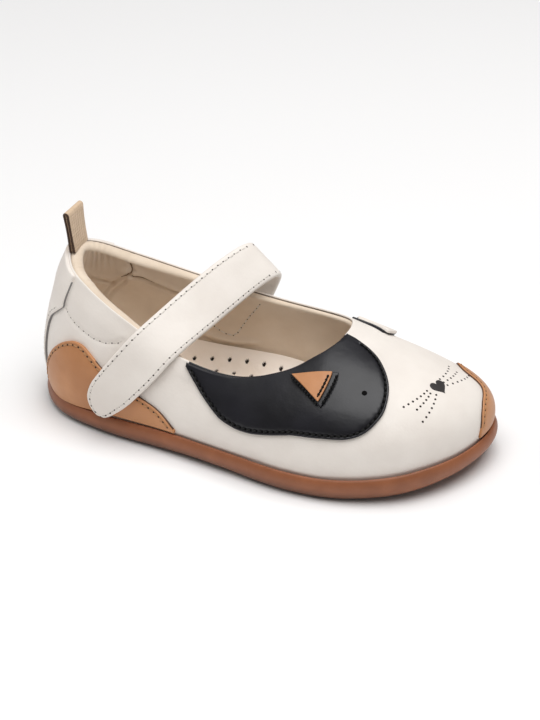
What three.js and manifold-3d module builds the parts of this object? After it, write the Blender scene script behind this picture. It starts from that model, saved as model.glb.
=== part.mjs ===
// Baby mary jane shoe for the right foot, built as a maker puts it together.
// Millimetres; x runs from heel to toe, y to the inner side of the foot, z up.
// The upper is one hollow wall over the last, and every overlay is cut from the
// same wall function, a little further out.
import * as THREE from 'three';
import { mergeVertices } from 'three/addons/utils/BufferGeometryUtils.js';
import Module from 'manifold-3d';

const wasm = await Module();
wasm.setup();

// Driving dimensions
const LENGTH = 140; // sole, heel to toe
const BALL = 56; // sole across the ball of the foot
const BACK = 50; // collar above the floor at the heel
const WALL = 2.2; // outer leather and lining
const PAD = 2.4; // extra thickness of the padded collar
const LEATHER = 1.0; // one overlay
const FLAP = 0.6; // one layer of the folded ear flaps
const STRAP = 2.0; // strap, folded leather
const GAP = 0.3; // glue line between pieces

// Sole heights above the floor, and how far the wall stands inside its edge
const LEDGE = 5.5;
const LIP = 7.3;
const LIP_INNER = 1.5;
const WALL_INSET = 2.4;
const TOE_SPRING = 4.4;
const SPRING_FROM = 0.7; // share of LENGTH where the sole starts to rise
const SPRING_POWER = 1.5;
const HEEL_DROP = 2.4; // the lip stands lower round the heel and at the tip
const HEEL_DROP_TO = 0.36;
const TOE_DROP = 1.0;
const TOE_DROP_FROM = 0.9;
const ARCH = 0.6;
const HEEL_BEVEL = 1.2;
const BEVEL_TO = 0.06; // shares of LENGTH where the bevel ends and the arch rises and falls
const ARCH_RISES = [0.33, 0.43];
const ARCH_FALLS = [0.48, 0.58];
const TREAD_DEPTH = 0.9;
const BUMP_HEIGHT = 0.6;

// Points round the shoe
const AROUND = 84;

const lerp = (a, b, f) => a + (b - a) * f;
const clamp = (v, lo, hi) => Math.min(hi, Math.max(lo, v));
const smooth = (lo, hi, v) => {
  const f = clamp((v - lo) / (hi - lo), 0, 1);
  return f * f * (3 - 2 * f);
};

// Stations round the shoe, from the heel along the outer side to the toe and back.
// edge: widest line of the sole. swell, rise: how far the wall bulges, and how high.
// top: collar or throat edge. back: how the wall arrives there. pad: padding.
// x in percent of LENGTH, y and swell in percent of BALL, heights in percent of BACK.
const WALL_COLUMNS = ['swell', 'rise', 'topX', 'topY', 'topZ', 'backX', 'backY', 'backZ', 'pad'];
const STATION_COLUMNS = ['edgeX', 'edgeY', ...WALL_COLUMNS];
const STATIONS = [
  [1.1, -0.9, 7.4, 25, 6.3, 0.0, 96.4, -4.0, 0.0, -30, 100], // heel
  [3.2, -19.7, 8.6, 22, 8.9, -16.1, 92.4, -2.9, -8.0, -28, 100],
  [9.7, -35.5, 10.2, 22, 14.3, -25.0, 86.0, -1.4, -8.0, -24, 100], // outer heel
  [21.4, -43.9, 6.8, 22, 22.9, -29.1, 73.4, 0.0, -7.1, -20, 80], // outer quarter
  [35.7, -47.5, 5.4, 18, 36.1, -32.1, 57.6, 0.0, -7.1, -14, 25], // outer waist
  [50.0, -53.2, 5.4, 18, 48.9, -33.6, 53.4, 0.0, -8.0, -10, 0],
  [64.3, -58.4, 5.4, 22, 59.3, -27.5, 59.8, 2.1, -13.4, -6, 0], // outer ball
  [77.1, -55.4, 5.4, 30, 64.9, -16.1, 66.6, 6.4, -16.1, -3, 0],
  [88.6, -42.5, 5.7, 36, 67.4, -5.4, 69.8, 12.1, -12.5, -5, 0], // outer toe
  [96.3, -19.3, 7.8, 36, 68.2, 3.6, 71.0, 17.1, -6.2, -11, 0],
  [99.9, 8.9, 9.8, 35, 68.4, 10.7, 71.4, 18.2, 1.8, -17, 0], // toe tip
  [98.0, 30.7, 8.8, 30, 68.1, 16.1, 71.4, 16.8, 8.9, -20, 0],
  [91.4, 40.7, 6.8, 28, 67.3, 19.6, 71.4, 11.4, 11.6, -17, 0], // inner toe
  [78.6, 41.4, 6.1, 26, 65.0, 22.9, 70.6, 5.7, 9.8, -12, 0], // inner ball
  [64.3, 38.6, 5.7, 28, 60.0, 26.1, 69.4, 1.8, 8.0, -10, 0],
  [48.6, 35.7, 5.7, 24, 48.6, 28.6, 69.0, 0.0, 5.4, -18, 20], // inner waist
  [32.1, 35.7, 6.4, 24, 32.1, 27.1, 74.8, 0.0, 5.4, -22, 60],
  [17.1, 36.4, 8.0, 26, 17.9, 23.6, 82.8, 0.0, 7.1, -24, 100], // inner heel
  [5.8, 24.2, 7.6, 25, 9.3, 13.6, 92.8, -2.5, 7.1, -28, 100],
];
const LAPS = STATIONS.length;

// Smooth closed interpolation of the table at station s
function station(s) {
  const whole = Math.floor(s);
  const f = s - whole;
  const row = (k) => STATIONS[(((whole + k) % LAPS) + LAPS) % LAPS];
  const [a, b, c, d] = [row(-1), row(0), row(1), row(2)];
  const out = {};
  STATION_COLUMNS.forEach((name, i) => {
    const cubic = (-a[i] + 3 * b[i] - 3 * c[i] + d[i]) * f ** 3;
    const square = (2 * a[i] - 5 * b[i] + 4 * c[i] - d[i]) * f ** 2;
    out[name] = 0.5 * (2 * b[i] + (c[i] - a[i]) * f + square + cubic) / 100;
  });
  return out;
}

function spring(x) {
  return TOE_SPRING * Math.max(0, (x / LENGTH - SPRING_FROM) / (1 - SPRING_FROM)) ** SPRING_POWER;
}

// Rise of the ledge and the lip
function lift(x) {
  const share = x / LENGTH;
  const heel = HEEL_DROP * Math.max(0, 1 - share / HEEL_DROP_TO) ** 2;
  return spring(x) - heel - TOE_DROP * smooth(TOE_DROP_FROM, 1, share);
}

function soleEdge(s, inset = 0) {
  const h = 0.01;
  const [a, b, p] = [station(s - h), station(s + h), station(s)];
  const dx = (b.edgeX - a.edgeX) * LENGTH;
  const dy = (b.edgeY - a.edgeY) * BALL;
  const l = Math.hypot(dx, dy);
  const outX = dy / l;
  const outY = -dx / l;
  return { x: p.edgeX * LENGTH - outX * inset, y: p.edgeY * BALL - outY * inset, outX, outY, row: p };
}

// Outer face of the wall at station s, share t of the way from sole to top edge
function wallFace(s, t) {
  const e = soleEdge(s, WALL_INSET);
  const r = e.row;
  const p0 = [e.x, e.y, LEDGE + GAP + lift(soleEdge(s).x)];
  const swell = r.swell * BALL;
  const p1 = [p0[0] + e.outX * swell, p0[1] + e.outY * swell, p0[2] + r.rise * BACK];
  const p3 = [r.topX * LENGTH, r.topY * BALL, r.topZ * BACK];
  const p2 = [p3[0] + r.backX * LENGTH, p3[1] + r.backY * BALL, p3[2] + r.backZ * BACK];
  const q = 1 - t;
  const mix = (i) => p0[i] * q ** 3 + 3 * p1[i] * q * q * t + 3 * p2[i] * q * t * t + p3[i] * t ** 3;
  return new THREE.Vector3(mix(0), mix(1), mix(2));
}

function wallNormal(s, t) {
  const h = 0.002;
  const ds = wallFace(s + h, t).sub(wallFace(s - h, t));
  const dt = wallFace(s, t + h).sub(wallFace(s, t - h));
  return ds.cross(dt).normalize();
}

const onWall = (s, t, off) => wallFace(s, t).addScaledVector(wallNormal(s, t), off);
const PAD_FADES = [0.5, 0.9]; // shares of the wall between which the padding grows
const thickness = (s, t) => WALL + PAD * clamp(station(s).pad, 0, 1) * smooth(...PAD_FADES, t);

// Meshes
function solid(points, faces) {
  const g = new THREE.BufferGeometry();
  g.setAttribute('position', new THREE.Float32BufferAttribute(points.flatMap((p) => [p.x, p.y, p.z]), 3));
  g.setIndex(faces.flat());
  return g;
}

// Faces between rows of points, each row a closed ring
function skin(rows, columns) {
  const faces = [];
  for (let r = 0; r < rows - 1; r += 1) {
    for (let c = 0; c < columns; c += 1) {
      const a = r * columns + c;
      const b = r * columns + ((c + 1) % columns);
      faces.push([a, b, b + columns], [a, b + columns, a + columns]);
    }
  }
  return faces;
}

// Closes a ring of points with strips from side to side
function cap(first, count, up) {
  const faces = [];
  const add = (...corners) => {
    const face = corners.map((i) => first + i);
    faces.push(up ? face : face.reverse());
  };
  for (let i = 1; i < count / 2; i += 1) {
    const j = count - i;
    if (i === 1) add(0, 1, j);
    if (i + 1 < j - 1) add(i, i + 1, j - 1);
    if (i + 1 <= j - 1) add(i, j - 1, j);
  }
  return faces;
}

// A body of stacked rings, each ring a function of the station
function rings(rows) {
  const points = [];
  rows.forEach((row) => {
    for (let i = 0; i < AROUND; i += 1) points.push(row((i / AROUND) * LAPS));
  });
  const last = (rows.length - 1) * AROUND;
  return solid(points, [...skin(rows.length, AROUND), ...cap(0, AROUND, false), ...cap(last, AROUND, true)]);
}

// Manifold solids, for the tread alone
function toManifold(geometry) {
  const g = geometry.index ? geometry.clone() : mergeVertices(geometry, 1e-4);
  g.deleteAttribute('normal');
  g.deleteAttribute('uv');
  const m = mergeVertices(g, 1e-4);
  return new wasm.Manifold(new wasm.Mesh({
    numProp: 3,
    vertProperties: new Float32Array(m.attributes.position.array),
    triVerts: new Uint32Array(m.index.array),
  }));
}

function fromManifold(manifold) {
  const m = manifold.getMesh();
  const g = new THREE.BufferGeometry();
  g.setAttribute('position', new THREE.BufferAttribute(new Float32Array(m.vertProperties), 3));
  g.setIndex(new THREE.BufferAttribute(new Uint32Array(m.triVerts), 1));
  return g;
}

// Sole

// Height of the underside: heel bevel, raised arch, toe spring
function underside(x) {
  const share = x / LENGTH;
  const bevel = HEEL_BEVEL * Math.max(0, 1 - share / BEVEL_TO) ** 2;
  const arch = ARCH * smooth(...ARCH_RISES, share) * (1 - smooth(...ARCH_FALLS, share));
  return bevel + arch + spring(x);
}

// Side of the sole from the tread up over the lip and down to the ledge;
// follow: how much of the underside's shape the row takes
const SIDE_COLUMNS = { inset: 0, height: 1, follow: 2 };
const SIDE = [
  [5.5, 0.0, 1],
  [3.4, 0.0, 1],
  [2.0, 0.5, 0.9],
  [0.9, 1.6, 0.7],
  [0.2, 3.1, 0.4],
  [0.0, 4.6, 0.15],
  [0.3, 6.1, 0],
  [0.8, 7.0, 0],
  [1.1, LIP, 0],
  [1.4, LIP - 0.1, 0],
  [LIP_INNER, LIP - 0.5, 0],
  [LIP_INNER, LEDGE, 0],
  [5.0, LEDGE, 0],
];

function soleRow(row) {
  const [inset, height] = [row[SIDE_COLUMNS.inset], row[SIDE_COLUMNS.height]];
  const follow = row[SIDE_COLUMNS.follow];
  return (s) => {
    const e = soleEdge(s, inset);
    const low = lift(soleEdge(s).x) * (1 - follow) + underside(e.x) * follow;
    return new THREE.Vector3(e.x, e.y, height + low);
  };
}

// Tread panels, recessed into the underside: sections along the foot with the
// outer and inner side, all in percent of LENGTH and BALL
const PANEL_COLUMNS = { along: 0, outer: 1, inner: 2 };
const HEEL_PANEL = [
  [5.4, -10, 6],
  [7.6, -21, 15],
  [12.0, -28, 20],
  [20.0, -31, 21],
  [30.0, -33, 19],
  [36.0, -30, 14],
  [39.4, -22, 6],
  [40.8, -11, -5],
];
const FORE_PANEL = [
  [46.5, -36, -33],
  [48.5, -42, -22],
  [50.4, -44, 10],
  [54.0, -46, 22],
  [62.0, -48, 25],
  [70.0, -49, 27],
  [78.0, -46, 29],
  [85.0, -38, 29],
  [90.0, -26, 26],
  [93.6, -10, 18],
];

function panelCutter(sections) {
  const points = [];
  const below = -LEDGE;
  const floor = (x, y, extra) => new THREE.Vector3(x, y, underside(x) + extra);
  sections.forEach((row) => {
    const x = (row[PANEL_COLUMNS.along] / 100) * LENGTH;
    const outer = (row[PANEL_COLUMNS.outer] / 100) * BALL;
    const inner = (row[PANEL_COLUMNS.inner] / 100) * BALL;
    points.push(floor(x, outer, below), floor(x, inner, below));
    points.push(floor(x, inner, TREAD_DEPTH), floor(x, outer, TREAD_DEPTH));
  });
  const n = sections.length;
  const faces = skin(n, 4);
  const end = (n - 1) * 4;
  faces.push([0, 2, 1], [0, 3, 2], [end, end + 1, end + 2], [end, end + 2, end + 3]);
  return toManifold(solid(points, faces));
}

// Round bumps standing in the panels: place in percent of LENGTH and BALL, radius
const BUMPS = [
  { along: 80.5, across: -5, radius: 11.5, sides: 28 },
  { along: 66.5, across: 12, radius: 4.2, sides: 12 },
  { along: 63.0, across: -13, radius: 4.2, sides: 12 },
  { along: 73.0, across: -38, radius: 4.2, sides: 12 },
  { along: 88.0, across: -24, radius: 4.0, sides: 12 },
  { along: 58.0, across: -32, radius: 3.6, sides: 12 },
  { along: 72.5, across: 20, radius: 3.2, sides: 12 },
  { along: 33.5, across: 6, radius: 4.0, sides: 12 },
  { along: 30.5, across: -19, radius: 4.0, sides: 12 },
  { along: 20.0, across: -5, radius: 4.4, sides: 12 },
  { along: 13.5, across: 9, radius: 3.4, sides: 12 },
];

const BUMP_ROOT = 1.5; // sunk into the sole
const BUMP_DRAFT = 0.4;

function bump({ along, across, radius, sides }) {
  const x = (along / 100) * LENGTH;
  const height = BUMP_HEIGHT + BUMP_ROOT;
  const g = new THREE.CylinderGeometry(radius, radius - BUMP_DRAFT, height, sides);
  g.rotateX(Math.PI / 2);
  const [rear, front] = [underside(x - radius), underside(x + radius)];
  g.rotateY(-Math.atan((front - rear) / (2 * radius)));
  g.translate(x, (across / 100) * BALL, (rear + front) / 2 + TREAD_DEPTH - BUMP_HEIGHT + height / 2);
  return toManifold(g);
}

function outsole() {
  let body = toManifold(rings(SIDE.map(soleRow)));
  body = body.subtract(panelCutter(HEEL_PANEL)).subtract(panelCutter(FORE_PANEL));
  BUMPS.forEach((b) => {
    body = body.add(bump(b));
  });
  return fromManifold(body);
}

// Footbed: its edge follows the inside of the wall and stands up at the arch
const BED = 9.3;
const CUP = [11.5, 11.5, 11.5, 11, 10.5, 10.2, 10, 10, 10, 10, 10, 10, 10, 10.5, 12.5, 14.8, 14, 12, 11.5];

function cupHeight(s) {
  const i = Math.floor(s) % LAPS;
  const f = s - Math.floor(s);
  return lerp(CUP[i], CUP[(i + 1) % LAPS], f * f * (3 - 2 * f)) + spring(soleEdge(s).x);
}

// Share t where the inner face of the wall stands at height z
function heightToShare(s, z) {
  let lo = 0;
  let hi = 0.6;
  for (let k = 0; k < 24; k += 1) {
    const mid = (lo + hi) / 2;
    if (wallFace(s, mid).z < z) lo = mid;
    else hi = mid;
  }
  return (lo + hi) / 2;
}

function bedEdge(s, z, inset) {
  const p = onWall(s, heightToShare(s, z), -WALL - GAP);
  const e = soleEdge(s);
  return new THREE.Vector3(p.x - e.outX * inset, p.y - e.outY * inset, z);
}

function insole() {
  const foot = (s) => LEDGE + GAP + lift(soleEdge(s).x);
  return rings([
    (s) => bedEdge(s, foot(s), 0),
    (s) => bedEdge(s, cupHeight(s) - 1, 0),
    (s) => bedEdge(s, cupHeight(s), 0.8),
    (s) => {
      const p = bedEdge(s, cupHeight(s), 4.5);
      return p.setZ(lerp(cupHeight(s), BED + spring(p.x), 0.7));
    },
    (s) => {
      const p = bedEdge(s, cupHeight(s), 8);
      return p.setZ(BED + spring(p.x));
    },
  ]);
}

// Upper: outer face, rounded top edge, inner face, and the foot of the wall
const OUTER_SHARES = [0, 0.05, 0.12, 0.2, 0.3, 0.41, 0.53, 0.66, 0.79, 0.9, 1];
const INNER_SHARES = [1, 0.88, 0.72, 0.55, 0.38, 0.22, 0.09, 0];
const RIM_TURNS = [0.25, 0.5, 0.75];
const RIM_SHARE = 0.3; // height of the rounded edge, as a share of its thickness

function rimPoint(s, turn) {
  const w = thickness(s, 1);
  const up = wallFace(s, 1).sub(wallFace(s, 0.998)).normalize();
  const angle = turn * Math.PI;
  return onWall(s, 1, (-w / 2) * (1 - Math.cos(angle))).addScaledVector(up, w * RIM_SHARE * Math.sin(angle));
}

function innerPoint(s, t) {
  const p = onWall(s, t, -thickness(s, t));
  return t === 0 ? p.setZ(wallFace(s, 0).z) : p;
}

function upper() {
  const rows = [
    ...OUTER_SHARES.map((t) => (s) => wallFace(s, t)),
    ...RIM_TURNS.map((turn) => (s) => rimPoint(s, turn)),
    ...INNER_SHARES.map((t) => (s) => innerPoint(s, t)),
  ];
  const points = [];
  rows.forEach((row) => {
    for (let i = 0; i < AROUND; i += 1) points.push(row((i / AROUND) * LAPS));
  });
  const faces = skin(rows.length, AROUND);
  const last = (rows.length - 1) * AROUND;
  for (let c = 0; c < AROUND; c += 1) {
    const n = (c + 1) % AROUND;
    faces.push([last + c, last + n, n], [last + c, n, c]);
  }
  return solid(points, faces);
}

// An overlay: the part of the wall between two edges given as shares of its height.
// Rows of its table: station, lower share, upper share.
const EDGE_COLUMNS = { station: 0, low: 1, high: 2 };

function edgeAt(table, s, column) {
  let i = 0;
  while (i < table.length - 2 && s > table[i + 1][EDGE_COLUMNS.station]) i += 1;
  const [a, b] = [table[i], table[i + 1]];
  const f = clamp((s - a[0]) / (b[0] - a[0]), 0, 1);
  return lerp(a[column], b[column], f);
}

// steps and rise: pieces along it and up it. layer: how far it stands off the wall.
function overlay(table, steps, rise, layer) {
  const from = table[0][0];
  const to = table[table.length - 1][0];
  const stops = new Set(table.map((row) => row[0]));
  for (let i = 0; i <= steps; i += 1) stops.add(lerp(from, to, i / steps));
  const sorted = [...stops].sort((a, b) => a - b).filter((v, i, all) => i === 0 || v - all[i - 1] > 0.02);
  const columns = (rise + 1) * 2;
  const points = [];
  sorted.forEach((s) => {
    const low = edgeAt(table, s, EDGE_COLUMNS.low);
    const high = edgeAt(table, s, EDGE_COLUMNS.high);
    for (let j = 0; j <= rise; j += 1) points.push(onWall(s, lerp(low, high, j / rise), layer.high));
    for (let j = rise; j >= 0; j -= 1) points.push(onWall(s, lerp(low, high, j / rise), layer.low));
  });
  const faces = skin(sorted.length, columns).map((f) => [...f].reverse());
  const end = (sorted.length - 1) * columns;
  for (let j = 0; j < rise; j += 1) {
    const k = columns - 1 - j;
    faces.push([j, j + 1, k], [j + 1, k - 1, k]);
    faces.push([end + k, end + j + 1, end + j], [end + k, end + k - 1, end + j + 1]);
  }
  return solid(points, faces);
}

const COUNTER = [
  [1.1, 0.075, 0.09],
  [1.2, 0.075, 0.2],
  [1.34, 0.075, 0.346],
  [1.58, 0.075, 0.475],
  [1.83, 0.075, 0.557],
  [2.11, 0.075, 0.612],
  [2.36, 0.075, 0.62],
  [2.6, 0.075, 0.57],
  [2.85, 0.08, 0.5],
  [3.2, 0.09, 0.44],
  [3.53, 0.09, 0.39],
  [3.78, 0.09, 0.335],
  [3.98, 0.09, 0.235],
  [4.13, 0.09, 0.11],
];
const BACKSTAY = [
  [-1.46, 0.775, 0.985],
  [-1.24, 0.715, 0.985],
  [-0.95, 0.64, 0.985],
  [-0.85, 0.56, 0.985],
  [-0.79, 0.42, 0.985],
  [-0.75, 0.25, 0.985],
  [-0.72, 0.06, 0.985],
  [0.72, 0.06, 0.985],
  [0.75, 0.25, 0.985],
  [0.79, 0.42, 0.985],
  [0.85, 0.56, 0.985],
  [0.95, 0.64, 0.985],
  [1.24, 0.715, 0.985],
  [1.46, 0.775, 0.985],
];
const TOE_TIP = [
  [9.69, 0.05, 0.07],
  [9.71, 0.05, 0.117],
  [9.79, 0.05, 0.207],
  [10.01, 0.05, 0.281],
  [10.3, 0.05, 0.315],
  [10.52, 0.05, 0.34],
  [10.62, 0.05, 0.38],
  [10.68, 0.05, 0.43],
  [10.76, 0.05, 0.475],
  [11.0, 0.05, 0.495],
  [11.3, 0.05, 0.485],
  [11.6, 0.05, 0.44],
  [12.0, 0.06, 0.36],
  [12.4, 0.07, 0.22],
  [12.65, 0.07, 0.09],
];
const EYE_PATCH = [
  [4.18, 0.95, 0.99],
  [4.55, 0.68, 0.99],
  [4.91, 0.45, 0.99],
  [5.2, 0.375, 0.99],
  [5.44, 0.36, 0.99],
  [5.8, 0.375, 0.99],
  [6.12, 0.39, 0.99],
  [6.6, 0.353, 0.99],
  [7.02, 0.321, 0.99],
  [7.25, 0.325, 0.99],
  [7.45, 0.349, 0.99],
  [7.81, 0.44, 0.99],
  [8.13, 0.576, 0.99],
  [8.46, 0.733, 0.99],
  [8.81, 0.865, 0.99],
  [9.0, 0.96, 0.99],
];
const EAR_OUTER_BACKING = [
  [6.16, 0.92, 0.935],
  [6.72, 0.563, 0.875],
  [7.29, 0.77, 0.785],
];
const EAR_OUTER = [
  [6.24, 0.89, 0.905],
  [6.7, 0.605, 0.855],
  [7.15, 0.78, 0.795],
];
const EAR_INNER_BACKING = [
  [11.5, 0.853, 0.868],
  [12.95, 0.61, 0.893],
  [13.2, 0.885, 0.9],
];
const EAR_INNER = [
  [11.36, 0.84, 0.855],
  [12.8, 0.65, 0.885],
  [13.0, 0.865, 0.89],
];

// Strap: across it from the rear edge to the front edge. The lower rows lie on the
// outer side of the wall, then it spans the throat, stands up in a bend and runs
// down the inner side of the shoe, outside the wall.
const STRAP_ON_WALL = [
  { rear: [2.9, 0.1], front: [3.06, 0.095] },
  { rear: [2.78, 0.155], front: [3.15, 0.125] },
  { rear: [2.71, 0.23], front: [3.25, 0.175] },
  { rear: [2.71, 0.31], front: [3.36, 0.24] },
  { rear: [2.77, 0.41], front: [3.49, 0.34] },
  { rear: [2.9, 0.54], front: [3.62, 0.47] },
  { rear: [3.05, 0.68], front: [3.75, 0.62] },
  { rear: [3.19, 0.85], front: [3.88, 0.8] },
];
const STRAP_SPAN = [
  { rear: [37.6, -19.6, 37.2], front: [50.2, -20.4, 31.6] },
  { rear: [41.9, -12.0, 40.0], front: [53.6, -12.0, 33.4] },
  { rear: [45.3, -4.4, 42.8], front: [57.1, -4.5, 35.4] },
  { rear: [49.1, 3.1, 45.4], front: [60.6, 3.0, 37.4] },
  { rear: [53.2, 10.6, 47.5], front: [64.1, 10.5, 39.4] },
  { rear: [57.0, 15.6, 48.2], front: [66.8, 15.6, 40.3] },
  { rear: [58.0, 18.3, 47.2], front: [67.2, 18.4, 38.9] },
  { rear: [57.0, 20.4, 43.8], front: [66.2, 20.5, 35.6] },
  { rear: [54.6, 21.0, 38.6], front: [64.6, 21.0, 31.6] },
];
const STRAP_ROOT = [
  { rear: [15.7, 0.78], front: [15.22, 0.66] },
  { rear: [15.84, 0.58], front: [15.33, 0.47] },
  { rear: [15.93, 0.36], front: [15.42, 0.27] },
];
const STRAP_ACROSS = 5;
const STRAP_CLEAR = LEATHER + 2 * GAP;

function strap() {
  const rows = [];
  const wallRow = ({ rear, front }, clear) => {
    const at = (k) => onWall(lerp(rear[0], front[0], k), lerp(rear[1], front[1], k), clear);
    rows.push(Array.from({ length: STRAP_ACROSS }, (_, k) => at(k / (STRAP_ACROSS - 1))));
  };
  const freeRow = ({ rear, front }) => {
    const [a, b] = [new THREE.Vector3(...rear), new THREE.Vector3(...front)];
    const at = (k) => a.clone().lerp(b, k / (STRAP_ACROSS - 1));
    rows.push(Array.from({ length: STRAP_ACROSS }, (_, k) => at(k)));
  };
  STRAP_ON_WALL.forEach((row) => wallRow(row, STRAP_CLEAR));
  STRAP_SPAN.forEach(freeRow);
  STRAP_ROOT.forEach((row) => wallRow(row, GAP));
  const normal = (r, k) => {
    const along = rows[Math.min(r + 1, rows.length - 1)][k].clone().sub(rows[Math.max(r - 1, 0)][k]);
    const across = rows[r][Math.min(k + 1, STRAP_ACROSS - 1)].clone().sub(rows[r][Math.max(k - 1, 0)]);
    return across.cross(along).normalize();
  };
  const points = [];
  rows.forEach((row, r) => {
    row.forEach((p, k) => points.push(p.clone().addScaledVector(normal(r, k), STRAP)));
    [...row].reverse().forEach((p) => points.push(p.clone()));
  });
  const columns = STRAP_ACROSS * 2;
  const faces = skin(rows.length, columns);
  const end = (rows.length - 1) * columns;
  for (let j = 0; j < STRAP_ACROSS - 1; j += 1) {
    const k = columns - 1 - j;
    faces.push([k, j + 1, j], [k, k - 1, j + 1]);
    faces.push([end + j, end + j + 1, end + k], [end + j + 1, end + k - 1, end + k]);
  }
  return solid(points, faces);
}

// Pull tab: a folded loop of tape standing on the back of the collar
const TAB_WIDTH = 9.4;
const TAB_HEIGHT = 11.7;
const TAB_DEPTH = 2.0;
const TAB_TAPE = 0.8;
const TAB_LEAN = -0.12;

function pullTab() {
  const half = TAB_DEPTH / 2;
  const slot = half - TAB_TAPE;
  const shape = new THREE.Shape();
  shape.moveTo(-half, 0);
  shape.lineTo(-slot, 0);
  shape.lineTo(-slot, TAB_HEIGHT - half);
  shape.absarc(0, TAB_HEIGHT - half, slot, Math.PI, 0, true);
  shape.lineTo(slot, 0);
  shape.lineTo(half, 0);
  shape.lineTo(half, TAB_HEIGHT - half);
  shape.absarc(0, TAB_HEIGHT - half, half, 0, Math.PI, false);
  const g = new THREE.ExtrudeGeometry(shape, { depth: TAB_WIDTH, bevelEnabled: false, curveSegments: 8 });
  g.translate(0, 0, -TAB_WIDTH / 2);
  g.rotateX(Math.PI / 2);
  g.rotateY(TAB_LEAN);
  const rim = rimPoint(0, 0.5);
  g.translate(rim.x, rim.y, rim.z + 2 * GAP);
  return g;
}

// Leathers, rubber and tape
const material = (color, roughness) => new THREE.MeshStandardMaterial({ color, roughness, metalness: 0 });
const WHITE = [0xf1ede5, 0.5];
const TAN = [0xc17f4e, 0.5];
const BLACK = [0x1c1c1f, 0.28];

const LAYER = { low: GAP, high: GAP + LEATHER };
const BACKING = { low: LAYER.high + GAP, high: LAYER.high + GAP + FLAP };
const FLAP_TOP = { low: BACKING.high + GAP, high: BACKING.high + GAP + FLAP };
const INNER_BACKING = { low: GAP, high: GAP + FLAP };
const INNER_FLAP = { low: INNER_BACKING.high + GAP, high: INNER_BACKING.high + GAP + FLAP };

const PARTS = [
  ['outsole', outsole(), material(0xa9683f, 0.55)],
  ['insole', insole(), material(0xdccbb5, 0.7)],
  ['upper', upper(), material(...WHITE)],
  ['heel_counter', overlay(COUNTER, 20, 4, LAYER), material(...TAN)],
  ['backstay', overlay(BACKSTAY, 20, 7, LAYER), material(...WHITE)],
  ['toe_tip', overlay(TOE_TIP, 18, 5, LAYER), material(...TAN)],
  ['eye_patch', overlay(EYE_PATCH, 24, 6, LAYER), material(...BLACK)],
  ['ear_outer_backing', overlay(EAR_OUTER_BACKING, 6, 3, BACKING), material(...BLACK)],
  ['ear_outer', overlay(EAR_OUTER, 6, 3, FLAP_TOP), material(...TAN)],
  ['ear_inner_backing', overlay(EAR_INNER_BACKING, 6, 3, INNER_BACKING), material(...BLACK)],
  ['ear_inner', overlay(EAR_INNER, 6, 3, INNER_FLAP), material(...WHITE)],
  ['strap', strap(), material(...WHITE)],
  ['pull_tab', pullTab(), material(0xe6d9c2, 0.8)],
];

// The finished shoe stands on z = 0 with the middle of its length and width at the origin
const shoe = new THREE.Group();
PARTS.forEach(([name, geometry, look]) => {
  const mesh = new THREE.Mesh(geometry, look);
  mesh.name = name;
  shoe.add(mesh);
});
const box = new THREE.Box3().setFromObject(shoe);
shoe.position.set(-(box.min.x + box.max.x) / 2, -(box.min.y + box.max.y) / 2, -box.min.z);

export default shoe;
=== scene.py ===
# Looks of a baby mary jane shoe for the right foot.
# The forms are worked out in millimetres, in the maker's own frame: x from heel to
# toe, y to the inner side of the foot, z up. mesh_object moves them to the frame.
import math

import bpy
import numpy as np
from mathutils import Matrix, Vector
from mathutils.geometry import delaunay_2d_cdt
from mathutils.kdtree import KDTree


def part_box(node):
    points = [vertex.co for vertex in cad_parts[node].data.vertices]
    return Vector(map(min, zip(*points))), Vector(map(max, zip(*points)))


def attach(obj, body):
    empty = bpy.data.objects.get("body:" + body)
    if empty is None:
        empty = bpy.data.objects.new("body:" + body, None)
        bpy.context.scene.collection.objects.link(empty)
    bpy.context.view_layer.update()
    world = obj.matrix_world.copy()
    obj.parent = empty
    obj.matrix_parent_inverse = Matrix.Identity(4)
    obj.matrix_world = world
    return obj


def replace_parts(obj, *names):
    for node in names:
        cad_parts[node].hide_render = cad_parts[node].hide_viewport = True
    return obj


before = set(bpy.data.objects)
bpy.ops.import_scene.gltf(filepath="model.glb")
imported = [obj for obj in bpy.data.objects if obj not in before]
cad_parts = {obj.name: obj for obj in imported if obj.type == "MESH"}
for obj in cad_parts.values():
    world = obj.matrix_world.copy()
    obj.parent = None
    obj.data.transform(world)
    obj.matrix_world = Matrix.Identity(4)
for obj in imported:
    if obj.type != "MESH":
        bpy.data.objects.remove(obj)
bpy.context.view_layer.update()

# Driving dimensions, millimetres
LENGTH = 140.0
BALL = 56.0
BACK = 50.0
WALL = 2.2
PAD = 2.4
LEATHER = 1.0
FLAP = 0.8
STRAP = 2.0
STRAP_CLEAR = 1.6
GAP = 0.3
LEDGE = 5.5
LIP = 7.3
WALL_INSET = 2.4
TOE_SPRING = 4.4
SPRING_FROM = 0.70
HEEL_DROP = 2.4
HEEL_DROP_TO = 0.36
TOE_DROP = 1.0
TOE_DROP_FROM = 0.9
ARCH = 0.6
HEEL_BEVEL = 1.2
TREAD_DEPTH = 0.9
BUMP_HEIGHT = 0.6
MM = 0.001

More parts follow.
